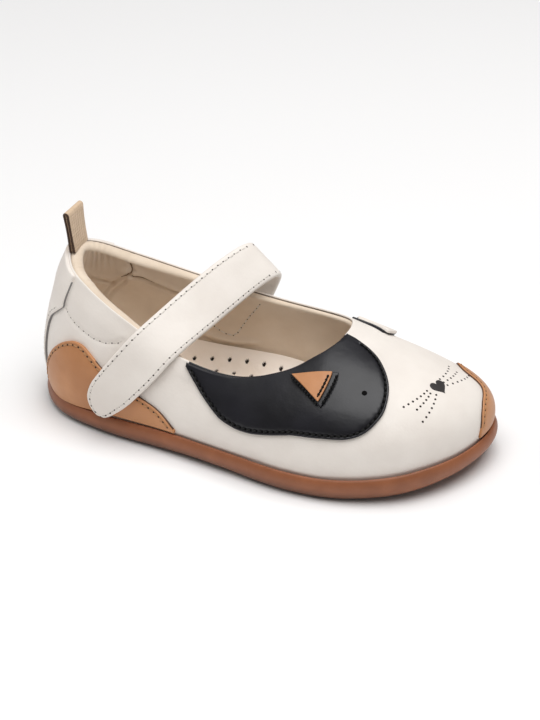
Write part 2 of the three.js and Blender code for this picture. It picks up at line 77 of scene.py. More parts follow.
# Stations round the shoe, from the heel along the outer side to the toe and back.
# edge x, y: widest line of the sole; swell, rise: bulge of the wall; top x, y, z:
# collar or throat edge; back x, y, z: how the wall arrives there; pad: padding.
# x in percent of LENGTH, y and swell in percent of BALL, heights in percent of BACK.
STATIONS = [
    (1.1, -0.9, 7.4, 25, 6.3, 0.0, 96.4, -4.0, 0.0, -30, 100),  # heel
    (3.2, -19.7, 8.6, 22, 8.9, -16.1, 92.4, -2.9, -8.0, -28, 100),
    (9.7, -35.5, 10.2, 22, 14.3, -25.0, 86.0, -1.4, -8.0, -24, 100),  # outer heel
    (21.4, -43.9, 6.8, 22, 22.9, -29.1, 73.4, 0.0, -7.1, -20, 80),  # outer quarter
    (35.7, -47.5, 5.4, 18, 36.1, -32.1, 57.6, 0.0, -7.1, -14, 25),  # outer waist
    (50.0, -53.2, 5.4, 18, 48.9, -33.6, 53.4, 0.0, -8.0, -10, 0),
    (64.3, -58.4, 5.4, 22, 59.3, -27.5, 59.8, 2.1, -13.4, -6, 0),  # outer ball
    (77.1, -55.4, 5.4, 30, 64.9, -16.1, 66.6, 6.4, -16.1, -3, 0),
    (88.6, -42.5, 5.7, 36, 67.4, -5.4, 69.8, 12.1, -12.5, -5, 0),  # outer toe
    (96.3, -19.3, 7.8, 36, 68.2, 3.6, 71.0, 17.1, -6.2, -11, 0),
    (99.9, 8.9, 9.8, 35, 68.4, 10.7, 71.4, 18.2, 1.8, -17, 0),  # toe tip
    (98.0, 30.7, 8.8, 30, 68.1, 16.1, 71.4, 16.8, 8.9, -20, 0),
    (91.4, 40.7, 6.8, 28, 67.3, 19.6, 71.4, 11.4, 11.6, -17, 0),  # inner toe
    (78.6, 41.4, 6.1, 26, 65.0, 22.9, 70.6, 5.7, 9.8, -12, 0),  # inner ball
    (64.3, 38.6, 5.7, 28, 60.0, 26.1, 69.4, 1.8, 8.0, -10, 0),
    (48.6, 35.7, 5.7, 24, 48.6, 28.6, 69.0, 0.0, 5.4, -18, 20),  # inner waist
    (32.1, 35.7, 6.4, 24, 32.1, 27.1, 74.8, 0.0, 5.4, -22, 60),
    (17.1, 36.4, 8.0, 26, 17.9, 23.6, 82.8, 0.0, 7.1, -24, 100),  # inner heel
    (5.8, 24.2, 7.6, 25, 9.3, 13.6, 92.8, -2.5, 7.1, -28, 100),
]
UNITS = np.array([LENGTH, BALL, BALL, BACK, LENGTH, BALL, BACK, LENGTH, BALL, BACK, 1.0]) / 100
TABLE = np.array(STATIONS, float) * UNITS
LAPS = len(STATIONS)
CHART_ALONG = 17.0  # rough millimetres to one station, and to the wall's height
CHART_UP = 40.0


# The wall over the last

def smooth(lo, hi, v):
    f = np.clip((v - lo) / (hi - lo), 0, 1)
    return f * f * (3 - 2 * f)


def station(s):
    s = np.asarray(s, float) % LAPS
    whole = np.floor(s).astype(int)
    f = (s - whole)[..., None]
    a, b, c, d = (TABLE[(whole + k) % LAPS] for k in (-1, 0, 1, 2))
    cubic = (-a + 3 * b - 3 * c + d) * f**3
    return 0.5 * (2 * b + (c - a) * f + (2 * a - 5 * b + 4 * c - d) * f**2 + cubic)


def spring(x):
    return TOE_SPRING * np.maximum(0, (x / LENGTH - SPRING_FROM) / (1 - SPRING_FROM)) ** 1.5


def lift(x):
    """Rise of the lip: with the toe spring, and lower round the heel and the tip."""
    share = x / LENGTH
    heel = HEEL_DROP * np.maximum(0, 1 - share / HEEL_DROP_TO) ** 2
    return spring(x) - heel - TOE_DROP * smooth(TOE_DROP_FROM, 1, share)


def sole_edge(s, inset=0.0):
    s = np.asarray(s, float)
    along = station(s + 0.01)[..., :2] - station(s - 0.01)[..., :2]
    out = np.stack([along[..., 1], -along[..., 0]], -1)
    out /= np.linalg.norm(out, axis=-1, keepdims=True)
    return station(s)[..., :2] - out * inset, out


def wall(s, t):
    s, t = np.broadcast_arrays(np.asarray(s, float), np.asarray(t, float))
    row = station(s)
    foot, out = sole_edge(s, WALL_INSET)
    height = LEDGE + GAP + lift(row[..., 0:1])
    p0 = np.concatenate([foot, height], -1)
    p1 = p0 + np.concatenate([out * row[..., 2:3], row[..., 3:4]], -1)
    p3 = row[..., 4:7]
    p2 = p3 + row[..., 7:10]
    t = t[..., None]
    q = 1 - t
    return p0 * q**3 + 3 * p1 * q * q * t + 3 * p2 * q * t * t + p3 * t**3


def slopes(s, t):
    h = 0.002
    along = (wall(s + 5 * h, t) - wall(s - 5 * h, t)) / (10 * h)
    up = (wall(s, t + h) - wall(s, t - h)) / (2 * h)
    return along, up


def wall_normal(s, t):
    along, up = slopes(s, t)
    n = np.cross(along, up)
    return n / np.linalg.norm(n, axis=-1, keepdims=True)


def pad_share(s):
    return np.clip(station(s)[..., 10], 0, 1)


def thickness(s, t):
    return WALL + PAD * pad_share(s) * smooth(0.5, 0.9, t)


# Lines on the wall: lists of (station, share)

def line_distance(s, t, path):
    path = np.array(path, float)
    middle = path[:, 0].mean()
    s, t = np.broadcast_arrays(np.asarray(s, float), np.asarray(t, float))
    s = (s - middle + LAPS / 2) % LAPS - LAPS / 2 + middle
    p = np.stack([s * CHART_ALONG, t * CHART_UP], -1)
    ends = path * [CHART_ALONG, CHART_UP]
    best = np.full(p.shape[:-1], 1e9)
    for a, b in zip(ends[:-1], ends[1:]):
        f = np.clip(((p - a) @ (b - a)) / ((b - a) @ (b - a)), 0, 1)
        best = np.minimum(best, np.linalg.norm(p - a - f[..., None] * (b - a), axis=-1))
    return best


COLLAR_STITCH = [(1.48, 0.78), (1.6, 0.76), (1.88, 0.73), (2.21, 0.712), (2.52, 0.702), (2.77, 0.717),
                 (3.02, 0.78), (3.11, 0.84)]
COLLAR_STITCH_INNER = [(17.52, 0.78), (17.2, 0.74), (16.85, 0.71), (16.5, 0.7), (16.2, 0.72), (15.95, 0.77)]

# Soft troughs (depth above zero) and ridges (below zero) pressed into the leather:
# line, half width and depth in millimetres
CREASES = [
    (COLLAR_STITCH, 0.7, 0.25),
    (COLLAR_STITCH_INNER, 0.7, 0.25),
    ([(4.2, 0.75), (4.0, 0.45), (3.8, 0.2)], 3.0, 0.3),
    ([(5.5, 0.1), (5.9, 0.26), (6.5, 0.3)], 3.5, 0.3),
    ([(6.4, 0.1), (7.0, 0.2), (7.9, 0.27)], 3.0, -0.2),
    ([(12.6, 0.75), (13.1, 0.45), (13.6, 0.2)], 3.5, 0.35),
    ([(14.1, 0.8), (14.3, 0.5), (14.7, 0.2)], 3.0, 0.3),
    ([(16.5, 0.55), (16.9, 0.35), (17.6, 0.2)], 3.0, 0.25),
    ([(1.2, 0.55), (1.7, 0.6), (2.3, 0.56)], 3.0, 0.2),
]
HALF_LINING_SEAMS = [
    [(1.86, 1.0), (1.89, 0.92), (1.8, 0.85)],
    [(1.8, 0.86), (1.64, 0.79), (1.44, 0.69), (1.31, 0.6), (1.21, 0.54), (1.08, 0.4)],
    [(1.7, 0.76), (1.61, 0.69), (1.4, 0.58), (1.3, 0.49), (1.25, 0.41), (1.2, 0.3)],
    [(1.44, 0.69), (0.97, 0.705), (0.6, 0.735), (0.0, 0.75)],
    [(1.85, 0.85), (2.08, 0.855), (2.32, 0.82), (2.54, 0.8), (2.95, 0.78), (3.3, 0.8)],
]
LINING_SEAMS = [[(side * s, t) for s, t in seam] for side in (1, -1) for seam in HALF_LINING_SEAMS]
# Where the lining bunches over the footbed: line, half width and height in millimetres
LINING_FOLDS = [
    ([(16.6, 0.46), (16.35, 0.38), (16.1, 0.32), (15.85, 0.295), (15.6, 0.3), (15.35, 0.34)], 1.1, 0.9),
    ([(16.5, 0.6), (16.2, 0.47), (15.95, 0.43), (15.75, 0.45)], 1.3, 0.45),
]


def relief(s, t):
    """How far the outer leather stands off the plain wall."""
    puff = pad_share(s) * 0.35 * np.sin(np.pi * smooth(0.7, 1.0, t))
    off = np.asarray(puff, float)
    for path, width, depth in CREASES:
        off = off - depth * np.exp(-((line_distance(s, t, path) / width) ** 2))
    return off


def lining_relief(s, t):
    """How far the lining stands in from the plain inner wall: seams, gathers, soft waves."""
    off = 0.0
    for path in LINING_SEAMS:
        d = line_distance(s, t, path)
        off = off - 0.6 * np.exp(-((d / 0.5) ** 2)) + 0.3 * np.exp(-(((d - 1.5) / 1.0) ** 2))
    for path, width, height in LINING_FOLDS:
        off = off + height * np.exp(-((line_distance(s, t, path) / width) ** 2))
    back = (s + LAPS / 2) % LAPS - LAPS / 2
    fold = np.sin(30.0 * back + 1.4 * np.sin(5 * back)) * np.exp(-(((np.abs(back) - 1.05) / 0.5) ** 2))
    off = off + 0.3 * fold * smooth(0.78, 0.95, t)
    return off + 0.25 * np.sin(2.1 * s + 3 * t) * np.sin(1.3 * s - 5 * t) * smooth(0.1, 0.3, t)


def lining(s, t, off=0.0):
    """A point on the lining, off millimetres into the shoe."""
    deep = thickness(s, t) + lining_relief(s, t) + off
    return wall(s, t) - wall_normal(s, t) * np.asarray(deep)[..., None]


def skin(s, t, off=0.0):
    """A point on the outer leather, off millimetres out."""
    s, t = np.broadcast_arrays(np.asarray(s, float), np.asarray(t, float))
    return wall(s, t) + wall_normal(s, t) * (relief(s, t) + off)[..., None]


# Meshes

outline = sole_edge(np.arange(84) / 84 * LAPS)[0]
low_corner, high_corner = (np.array(corner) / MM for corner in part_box("outsole"))
SHIFT = np.zeros(3)
SHIFT[:2] = (low_corner + high_corner)[:2] / 2 - (outline.min(0) + outline.max(0)) / 2


def mesh_object(name, verts, faces, materials, face_slots=None):
    mesh = bpy.data.meshes.new(name)
    mesh.from_pydata(((np.asarray(verts) + SHIFT) * MM).tolist(), [], [list(map(int, f)) for f in faces])
    for material in materials:
        mesh.materials.append(material)
    if face_slots is not None:
        mesh.polygons.foreach_set("material_index", np.asarray(face_slots, np.int32))
    mesh.polygons.foreach_set("use_smooth", np.ones(len(mesh.polygons), bool))
    mesh.update()
    piece = bpy.data.objects.new(name, mesh)
    bpy.context.scene.collection.objects.link(piece)
    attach(piece, "root")
    return piece


def grid_faces(rows, columns, closed=True):
    """Quads between rows of points; a closed row joins its last point to its first."""
    steps = columns if closed else columns - 1
    r, c = np.meshgrid(np.arange(rows - 1), np.arange(steps), indexing="ij")
    a = r * columns + c
    b = r * columns + (c + 1) % columns
    return np.stack([a, b, b + columns, a + columns], -1).reshape(-1, 4)


def nearest(points, targets):
    tree = KDTree(len(targets))
    for i, p in enumerate(targets):
        tree.insert(p if len(p) == 3 else (*p, 0.0), i)
    tree.balance()
    return np.array([tree.find(p if len(p) == 3 else (*p, 0.0))[2] for p in points])


def inside(points, loop):
    x, y = points[:, 0:1], points[:, 1:2]
    x0, y0 = loop.T
    x1, y1 = np.roll(loop, -1, 0).T
    rise = np.where(y1 == y0, 1e-9, y1 - y0)
    hits = ((y0 <= y) != (y1 <= y)) & (x < x0 + (y - y0) / rise * (x1 - x0))
    return hits.sum(1) % 2 == 1


def fill(loop, extra):
    """Triangles that fill a flat loop, with extra points inside."""
    flat = [Vector(p) for p in np.vstack([loop, extra])]
    edges = [(i, (i + 1) % len(loop)) for i in range(len(loop))]
    verts, _, faces = delaunay_2d_cdt(flat, edges, [], 1, 1e-7)[:3]
    return np.array([v[:] for v in verts]), np.array(faces)


def rim_edges(faces):
    """The edges that only one triangle has, in that triangle's order."""
    seen = {(int(f[i]), int(f[(i + 1) % 3])) for f in faces for i in range(3)}
    return [e for e in seen if (e[1], e[0]) not in seen]


def spread(path, spacing, place, closed=False):
    """The same path with points at even spacing, measured where place puts them."""
    path = np.array(path, float)
    if closed:
        path = np.vstack([path, path[:1]])
    fine = np.linspace(0, len(path) - 1, 40 * (len(path) - 1) + 1)
    dense = np.stack([np.interp(fine, np.arange(len(path)), path[:, i]) for i in range(2)], -1)
    steps = np.linalg.norm(np.diff(place(dense), axis=0), axis=-1)
    length = np.concatenate([[0], np.cumsum(steps)])
    count = max(3, int(round(length[-1] / spacing)) + 1)
    at = np.linspace(0, length[-1], count)
    if closed:
        at = at[:-1]
    return np.stack([np.interp(at, length, dense[:, i]) for i in range(2)], -1)


def soften(path, reach, closed=False):
    """Rounds the corners of an evenly spaced path; its ends stay."""
    k = np.arange(-3 * reach, 3 * reach + 1)
    weights = np.exp(-((k / reach) ** 2))
    weights /= weights.sum()
    n = len(k) // 2
    if closed:
        padded = np.vstack([path[-n:], path, path[:n]])
    else:
        n = min(n, len(path) - 1)
        weights = np.exp(-((np.arange(-n, n + 1) / reach) ** 2))
        weights /= weights.sum()
        before = 2 * path[0] - path[n:0:-1]
        after = 2 * path[-1] - path[-2:-n - 2:-1]
        padded = np.vstack([before, path, after])
    return np.stack([np.convolve(padded[:, i], weights, "valid") for i in range(2)], -1)


def on_wall(path):
    return wall(path[:, 0], path[:, 1])


def on_flat(path):
    return path


def inset(path, distance, closed=True):
    """Moves a path on the wall to its left side, by a distance along the leather."""
    s, t = path.T
    p = on_wall(path)
    if closed:
        along = np.roll(p, -1, 0) - np.roll(p, 1, 0)
    else:
        along = np.gradient(p, axis=0)
    side = np.cross(wall_normal(s, t), along)
    side *= distance / np.linalg.norm(side, axis=-1, keepdims=True)
    ds, dt = slopes(s, t)
    a11, a12, a22 = (ds * ds).sum(-1), (ds * dt).sum(-1), (dt * dt).sum(-1)
    b1, b2 = (side * ds).sum(-1), (side * dt).sum(-1)
    det = a11 * a22 - a12 * a12
    moved = path + np.stack([(b1 * a22 - b2 * a12) / det, (b2 * a11 - b1 * a12) / det], -1)
    gap = nearest(on_wall(moved), p)
    return moved[gap > 0.9 * abs(distance)] if closed else moved


# Materials

def shader_of(name, roughness, coat=0.0, coat_roughness=0.2, sheen=0.0, specular=0.5):
    material = bpy.data.materials.new(name)
    material.use_nodes = True
    shader = material.node_tree.nodes["Principled BSDF"]
    shader.inputs["Roughness"].default_value = roughness
    shader.inputs["Coat Weight"].default_value = coat
    shader.inputs["Coat Roughness"].default_value = coat_roughness
    shader.inputs["Sheen Weight"].default_value = sheen
    shader.inputs["Specular IOR Level"].default_value = specular
    return material, material.node_tree, shader


def noise(tree, size, detail=3.0, rough=0.5):
    """Noise with features of the given size in millimetres, on the piece's own place."""
    place = tree.nodes.new("ShaderNodeTexCoord")
    node = tree.nodes.new("ShaderNodeTexNoise")
    node.inputs["Scale"].default_value = 1 / (size * MM)
    node.inputs["Detail"].default_value = detail
    node.inputs["Roughness"].default_value = rough
    tree.links.new(place.outputs["Object"], node.inputs["Vector"])
    return node.outputs["Fac"]


def cells(tree, size, feature="F1"):
    place = tree.nodes.new("ShaderNodeTexCoord")
    node = tree.nodes.new("ShaderNodeTexVoronoi")
    node.feature = feature
    node.inputs["Scale"].default_value = 1 / (size * MM)
    tree.links.new(place.outputs["Object"], node.inputs["Vector"])
    return node.outputs["Distance"]


def waves(tree, size, direction, distortion=0.0):
    place = tree.nodes.new("ShaderNodeTexCoord")
    node = tree.nodes.new("ShaderNodeTexWave")
    node.bands_direction = direction
    node.inputs["Scale"].default_value = 1 / (size * MM) / 20 * 3.1416
    node.inputs["Distortion"].default_value = distortion
    tree.links.new(place.outputs["Object"], node.inputs["Vector"])
    return node.outputs["Fac"]


def ramp(tree, value, stops):
    node = tree.nodes.new("ShaderNodeValToRGB")
    points = node.color_ramp.elements
    for point, (at, colour) in zip(points, (stops[0], stops[-1])):
        point.position = at
        point.color = (*colour, 1)
    for at, colour in stops[1:-1]:
        points.new(at).color = (*colour, 1)
    tree.links.new(value, node.inputs["Fac"])
    return node.outputs["Color"]


def bump(tree, height, depth, strength=1.0, below=None):
    node = tree.nodes.new("ShaderNodeBump")
    node.inputs["Distance"].default_value = depth * MM
    node.inputs["Strength"].default_value = strength
    tree.links.new(height, node.inputs["Height"])
    if below is not None:
        tree.links.new(below, node.inputs["Normal"])
    return node.outputs["Normal"]


def vary_roughness(tree, shader, value, low, high):
    node = tree.nodes.new("ShaderNodeMapRange")
    node.inputs["To Min"].default_value = low
    node.inputs["To Max"].default_value = high
    tree.links.new(value, node.inputs["Value"])
    tree.links.new(node.outputs["Result"], shader.inputs["Roughness"])


def leather(name, colours, roughness, grain=0.05, grain_size=0.75, coat=0.0, soft=0.25, specular=0.5):
    """Leather with fine pebbled grain, slow waves and a little drift in colour and gloss."""
    material, tree, shader = shader_of(name, roughness, coat, 0.16, specular=specular)
    tint = ramp(tree, noise(tree, 14, 4), [(0.35, colours[0]), (0.65, colours[1])])
    tree.links.new(tint, shader.inputs["Base Color"])
    vary_roughness(tree, shader, noise(tree, 5, 5), roughness - 0.07, roughness + 0.07)
    slow = bump(tree, noise(tree, 9, 2), soft)
    pebbles = bump(tree, cells(tree, grain_size, "SMOOTH_F1"), grain, 0.8, slow)
    fine = bump(tree, noise(tree, 0.22, 4, 0.6), grain * 0.5, 0.7, pebbles)
    tree.links.new(fine, shader.inputs["Normal"])
    return material


def plain(name, colour, roughness, size=0.3, depth=0.05, sheen=0.0, specular=0.5):
    """A matt stuff with a fine uneven surface, such as thread, tape edge, or the painted shade in a cut hole."""
    material, tree, shader = shader_of(name, roughness, sheen=sheen, specular=specular)
    darker = tuple(0.75 * c for c in colour)
    tint = ramp(tree, noise(tree, size * 3, 3), [(0.3, darker), (0.7, colour)])
    tree.links.new(tint, shader.inputs["Base Color"])
    tree.links.new(bump(tree, noise(tree, size, 3), depth), shader.inputs["Normal"])
    return material


def rubber():
    """Gum rubber: satin, a little mottled, with painted shade darkening it towards the floor."""
    material, tree, shader = shader_of("gum_rubber", 0.5, coat=0.12, coat_roughness=0.35)
    mottle = ramp(tree, noise(tree, 6, 5), [(0.3, (0.25, 0.08, 0.028)), (0.7, (0.32, 0.107, 0.04))])
    place = tree.nodes.new("ShaderNodeTexCoord")
    split = tree.nodes.new("ShaderNodeSeparateXYZ")
    tree.links.new(place.outputs["Object"], split.inputs["Vector"])
    # Painted shade: the colour is multiplied down to 0.22 over the lowest 4.4 mm of the sole, where it turns away from
    # the light.
    low = tree.nodes.new("ShaderNodeMapRange")
    low.inputs["From Min"].default_value = 0.2 * MM
    low.inputs["From Max"].default_value = 4.4 * MM
    low.inputs["To Min"].default_value = 0.22
    low.inputs["To Max"].default_value = 1.0
    tree.links.new(split.outputs["Z"], low.inputs["Value"])
    shade = tree.nodes.new("ShaderNodeMix")
    shade.data_type = "RGBA"
    shade.blend_type = "MULTIPLY"
    shade.inputs["Factor"].default_value = 1.0
    tree.links.new(mottle, shade.inputs["A"])
    tree.links.new(low.outputs["Result"], shade.inputs["B"])
    tree.links.new(shade.outputs["Result"], shader.inputs["Base Color"])
    vary_roughness(tree, shader, noise(tree, 2.5, 4), 0.42, 0.6)
    slow = bump(tree, noise(tree, 4, 3), 0.06)
    tree.links.new(bump(tree, noise(tree, 0.35, 4), 0.03, 1.0, slow), shader.inputs["Normal"])
    return material


def lining_leather():
    """Soft matt lining with a suede-like nap."""
    material, tree, shader = shader_of("lining", 0.75, sheen=0.25)
    tint = ramp(tree, noise(tree, 8, 5), [(0.3, (0.72, 0.59, 0.455)), (0.7, (0.80, 0.675, 0.54))])
    tree.links.new(tint, shader.inputs["Base Color"])
    slow = bump(tree, noise(tree, 4, 3), 0.2)
    nap = bump(tree, noise(tree, 0.3, 5, 0.65), 0.07, 0.9, slow)
    tree.links.new(nap, shader.inputs["Normal"])
    return material


def tape():
    """Woven cotton tape: fine ribs across and along."""
    material, tree, shader = shader_of("tab_tape", 0.8, sheen=0.2)
    tint = ramp(tree, noise(tree, 2, 5), [(0.3, (0.61, 0.45, 0.30)), (0.7, (0.71, 0.53, 0.37))])
    tree.links.new(tint, shader.inputs["Base Color"])
    ribs = bump(tree, waves(tree, 0.45, "Z"), 0.08)
    weft = bump(tree, waves(tree, 0.6, "Y"), 0.07, 1.0, ribs)
    tree.links.new(weft, shader.inputs["Normal"])
    return material


WHITE = leather("white_leather", ((0.81, 0.75, 0.69), (0.87, 0.815, 0.755)), 0.54, grain=0.04, coat=0.03, specular=0.4)
TAN = leather("tan_leather", ((0.47, 0.20, 0.075), (0.56, 0.255, 0.105)), 0.46, grain=0.035, coat=0.08)
BLACK = leather("black_leather", ((0.004, 0.004, 0.006), (0.007, 0.007, 0.011)), 0.37, grain=0.02, coat=0.12, specular=0.42)
LINING = lining_leather()
FOOTBED = leather("footbed_leather", ((0.91, 0.80, 0.69), (0.96, 0.87, 0.78)), 0.6, grain=0.05, soft=0.15)
RUBBER = rubber()
TAPE = tape()
TAPE_EDGE = plain("tape_edge", (0.07, 0.035, 0.02), 0.8)
WHITE_THREAD = plain("white_thread", (0.78, 0.73, 0.66), 0.6, 0.2, 0.08, 0.2)
TAN_THREAD = plain("tan_thread", (0.52, 0.27, 0.11), 0.6, 0.2, 0.08, 0.2)
BLACK_THREAD = plain("black_thread", (0.006, 0.006, 0.006), 0.6, 0.2, 0.08, specular=0.2)
# Painted shade: the needle-hole colour below darkens small discs at the stitch ends, standing in for the shade inside
# the holes.
NEEDLE_HOLE_SHADE = plain("needle_hole_shade", (0.075, 0.06, 0.05), 0.9)
# Painted highlight: a grey much lighter than the black leather, on the eye patch's rounded cut edge, for the light it
# catches.
PATCH_EDGE_SHEEN = plain("patch_edge_sheen", (0.09, 0.085, 0.08), 0.6)
TAN_EDGE = plain("tan_edge", (0.11, 0.045, 0.02), 0.7)
# Painted shade: grey for the backstay's cut edge, standing in for the shadow of its step onto the wall.
BACKSTAY_EDGE_SHADE = plain("backstay_edge_shade", (0.25, 0.24, 0.235), 0.7)
# Partly painted shade: the leather's inward-facing cut edge at the collar, coloured dark grey-brown for the shadow gap
# beside the roll.
INNER_EDGE_SHADE = plain("inner_edge_shade", (0.36, 0.30, 0.26), 0.8)
# Painted shade: the dark brown of the cords laid along the lining's seams.
SEAM_SHADE = plain("seam_shade", (0.26, 0.175, 0.115), 0.9)
# Painted shade: the two dark hole colours below are the shade inside punched holes, needle holes, the eye and the
# footbed's holes.
PUNCHED_HOLE_SHADE = plain("punched_hole_shade", (0.03, 0.022, 0.018), 0.9)
BLACK_HOLE_SHADE = plain("black_hole_shade", (0.002, 0.002, 0.002), 0.8, specular=0.1)
PRINT = plain("dark_print", (0.03, 0.025, 0.024), 0.45, 0.4, 0.02)


# Upper: outer leather, its cut edge, the rolled lining and the inner face

AROUND = 24 * LAPS
OUTER_ROWS = 84
INNER_ROWS = 66
SEAM_RADIUS = 0.2
LEATHER_EDGE = [(0.02, 0.3), (0.12, 0.52), (0.3, 0.62), (0.48, 0.55), (0.58, 0.38), (0.6, 0.1), (0.62, -0.25), (0.7, -0.5)]
EDGE_TOP_ROWS = 5  # the first rows of LEATHER_EDGE are its top, the others face inwards
PATCH_TOP = (4.2, 8.98)  # stations between which the patch covers the edge
ROLL_TURNS = np.linspace(0, 1, 13)[1:]


def make_upper():
    s = np.arange(AROUND) / 24.0
    rows = [skin(s, t) for t in np.linspace(0, 1, OUTER_ROWS)]
    top = skin(s, 1.0)
    up = wall(s, 1.0) - wall(s, 0.998)
    up /= np.linalg.norm(up, axis=-1, keepdims=True)
    n = wall_normal(s, 1.0)
    width = thickness(s, 1.0)[:, None]
    cut, sunk = LEATHER_EDGE[-1]
    roll = width - cut

    def rim(deep, high):
        return top - n * deep + up * high

    for deep, high in LEATHER_EDGE:
        rows.append(rim(deep, high))
    pucker = (lining_relief(s, 1.0))[:, None]
    for turn in ROLL_TURNS:
        a = turn * math.pi
        high = (0.36 * roll + 0.4 * pucker) * math.sin(a) + sunk * (1 - turn) ** 4
        rows.append(rim(cut + roll / 2 * (1 - math.cos(a)), high))
    rows += [lining(s, t) for t in np.linspace(1, 0, INNER_ROWS)[1:]]
    faces = grid_faces(len(rows), AROUND)
    row, place = faces[:, 0] // AROUND, faces[:, 0] % AROUND / 24.0
    edge = (row >= OUTER_ROWS - 1) & (row < OUTER_ROWS - 1 + EDGE_TOP_ROWS)
    inner_side = (row >= OUTER_ROWS - 1 + EDGE_TOP_ROWS) & (row < OUTER_ROWS - 1 + len(LEATHER_EDGE))
    slots = (row >= OUTER_ROWS - 1 + len(LEATHER_EDGE)).astype(int)
    # The inward-facing rows of the leather's edge take the dark edge colour, painted shade of the gap above the roll.
    slots[inner_side] = 2
    slots[edge & (place > PATCH_TOP[0]) & (place < PATCH_TOP[1])] = 3
    return mesh_object("upper_leather", np.vstack(rows), faces, [WHITE, LINING, INNER_EDGE_SHADE, BLACK], slots)


def make_lining_seam_shade():
    """Thin dark cords along the lines where the panels of the lining meet: painted shade of the seams."""
    verts, faces = [], []
    turn = np.arange(6) / 6 * 2 * math.pi
    for seam in LINING_SEAMS:
        path = soften(spread(seam, 0.6, on_wall), 1)
        s, t = path.T
        n = -wall_normal(s, t)
        along = np.gradient(lining(s, t), axis=0)
        side = np.cross(n, along)
        side /= np.linalg.norm(side, axis=-1, keepdims=True)
        ring = side[:, None] * np.cos(turn)[None, :, None] * SEAM_RADIUS + n[:, None] * np.sin(turn)[None, :, None] * 0.1
        faces.append(grid_faces(len(path), 6) + sum(len(v) for v in verts))
        verts.append((lining(s, t, 0.03)[:, None] + ring).reshape(-1, 3))
    return mesh_object("lining_seam_shade", np.vstack(verts), np.vstack(faces), [SEAM_SHADE])


# Overlays: leather cut to an outline on the wall, its edge rounded, with stitches

def edges_to_loop(table, soft=4):
    """A closed loop from rows of station, lower share, upper share."""
    rows = np.array(table, float)
    low = soften(spread(rows[:, [0, 1]], 0.5, on_wall), soft)
    high = soften(spread(rows[::-1][:, [0, 2]], 0.5, on_wall), soft)
    ends = [spread([low[-1], high[0]], 0.5, on_wall)[1:-1], spread([high[-1], low[0]], 0.5, on_wall)[1:-1]]
    return np.vstack([low, ends[0], high, ends[1]])


def dark_below_rim(s, t):
    return t < 0.95


def overlay(name, loop, low, high, materials, edge=0.35, grid=1.2, seam=None, groove=0.0, raw=dark_below_rim):
    """Leather from low to high off the wall inside loop, (station, share) points.
    materials: its face and its cut edge, which shows where raw says. seam: a stitch
    line that presses a groove into the leather."""
    scale = np.array([CHART_ALONG, CHART_UP])
    steps = [d * edge for d in (0.2, 0.55, 1.0)]
    if groove:
        steps += [SEAM_IN - 0.45, SEAM_IN - 0.2, SEAM_IN, SEAM_IN + 0.2, SEAM_IN + 0.5]
    else:
        steps.append(1.7 * edge)
    rings = [inset(loop, step) for step in steps]
    lo, hi = (loop * scale).min(0), (loop * scale).max(0)
    gx, gy = np.meshgrid(np.arange(lo[0], hi[0], grid), np.arange(lo[1], hi[1], grid))
    lattice = np.stack([gx.ravel(), gy.ravel()], -1)
    lattice = lattice[inside(lattice, loop * scale)]
    border = on_wall(loop)
    if len(lattice):
        lattice = lattice[nearest(on_wall(lattice / scale), border) > steps[-1] + 0.5]
    extra = np.vstack([*(r * scale for r in rings if len(r)), lattice])
    extra = extra[inside(extra, loop * scale)]
    flat, faces = fill(loop * scale, extra)
    s, t = (flat / scale).T
    depth = nearest(wall(s, t), border)
    gap = np.clip(depth / edge, 0, 1)
    round_off = 1 - np.sqrt(1 - (1 - gap) ** 2)
    pressed = 0.0
    if groove:
        away = nearest(wall(s, t), on_wall(spread(seam, 0.25, on_wall)))
        pressed = groove * np.exp(-((away / 0.35) ** 2))
    top = skin(s, t, high - (high - low) * 0.3 * round_off - pressed)
    rim = rim_edges(faces)
    around = sorted({a for a, _ in rim})
    index = {a: len(flat) + i for i, a in enumerate(around)}
    foot = skin(s[around], t[around], low)
    sides = [(b, a, index[a], index[b]) for a, b in rim]
    verts = np.vstack([top, foot])
    shows = [(len(materials) - 1) * int(raw(s[a], t[a])) for a, _ in rim]
    slots = np.concatenate([np.zeros(len(faces), int), np.array(shows)])
    return mesh_object(name, verts, [*faces, *sides], materials, slots)


# Stitches: threads with a dark disc at each end, painted shade for its needle hole

def ellipsoid(rings=5, sides=7):
    turn = np.linspace(-1, 1, rings + 2) * math.pi / 2
    around = np.arange(sides) / sides * 2 * math.pi
    x = np.sin(turn)[:, None] * np.ones(sides)
    y = np.cos(turn)[:, None] * np.cos(around)
    z = np.cos(turn)[:, None] * np.sin(around)
    return np.stack([x, y, z], -1).reshape(-1, 3), grid_faces(rings + 2, sides)


def copies(form, places):
    """Joined copies of a form; each place is a 3 by 3 frame and a centre."""
    verts, faces = form
    all_verts = [verts @ np.asarray(axes) + centre for axes, centre in places]
    all_faces = [faces + i * len(verts) for i in range(len(places))]
    return np.vstack(all_verts), np.vstack(all_faces)


def stitch_run(points, normals, thread, hole, sink):
    """Frames of the threads and of the needle-hole discs along a run of points, one thread to a step; the discs carry
    painted shade.
    """
    threads, holes = [], []
    for a, b, n in zip(points[:-1], points[1:], normals[:-1]):
        along = b - a
        long = np.linalg.norm(along)
        x = along / long
        y = np.cross(n, x)
        threads.append(((x * long * 0.37, y * thread, n * thread), (a + b) / 2 - n * sink))
        holes.append(((x * hole, y * hole, n * 0.05), a))
    return threads, holes


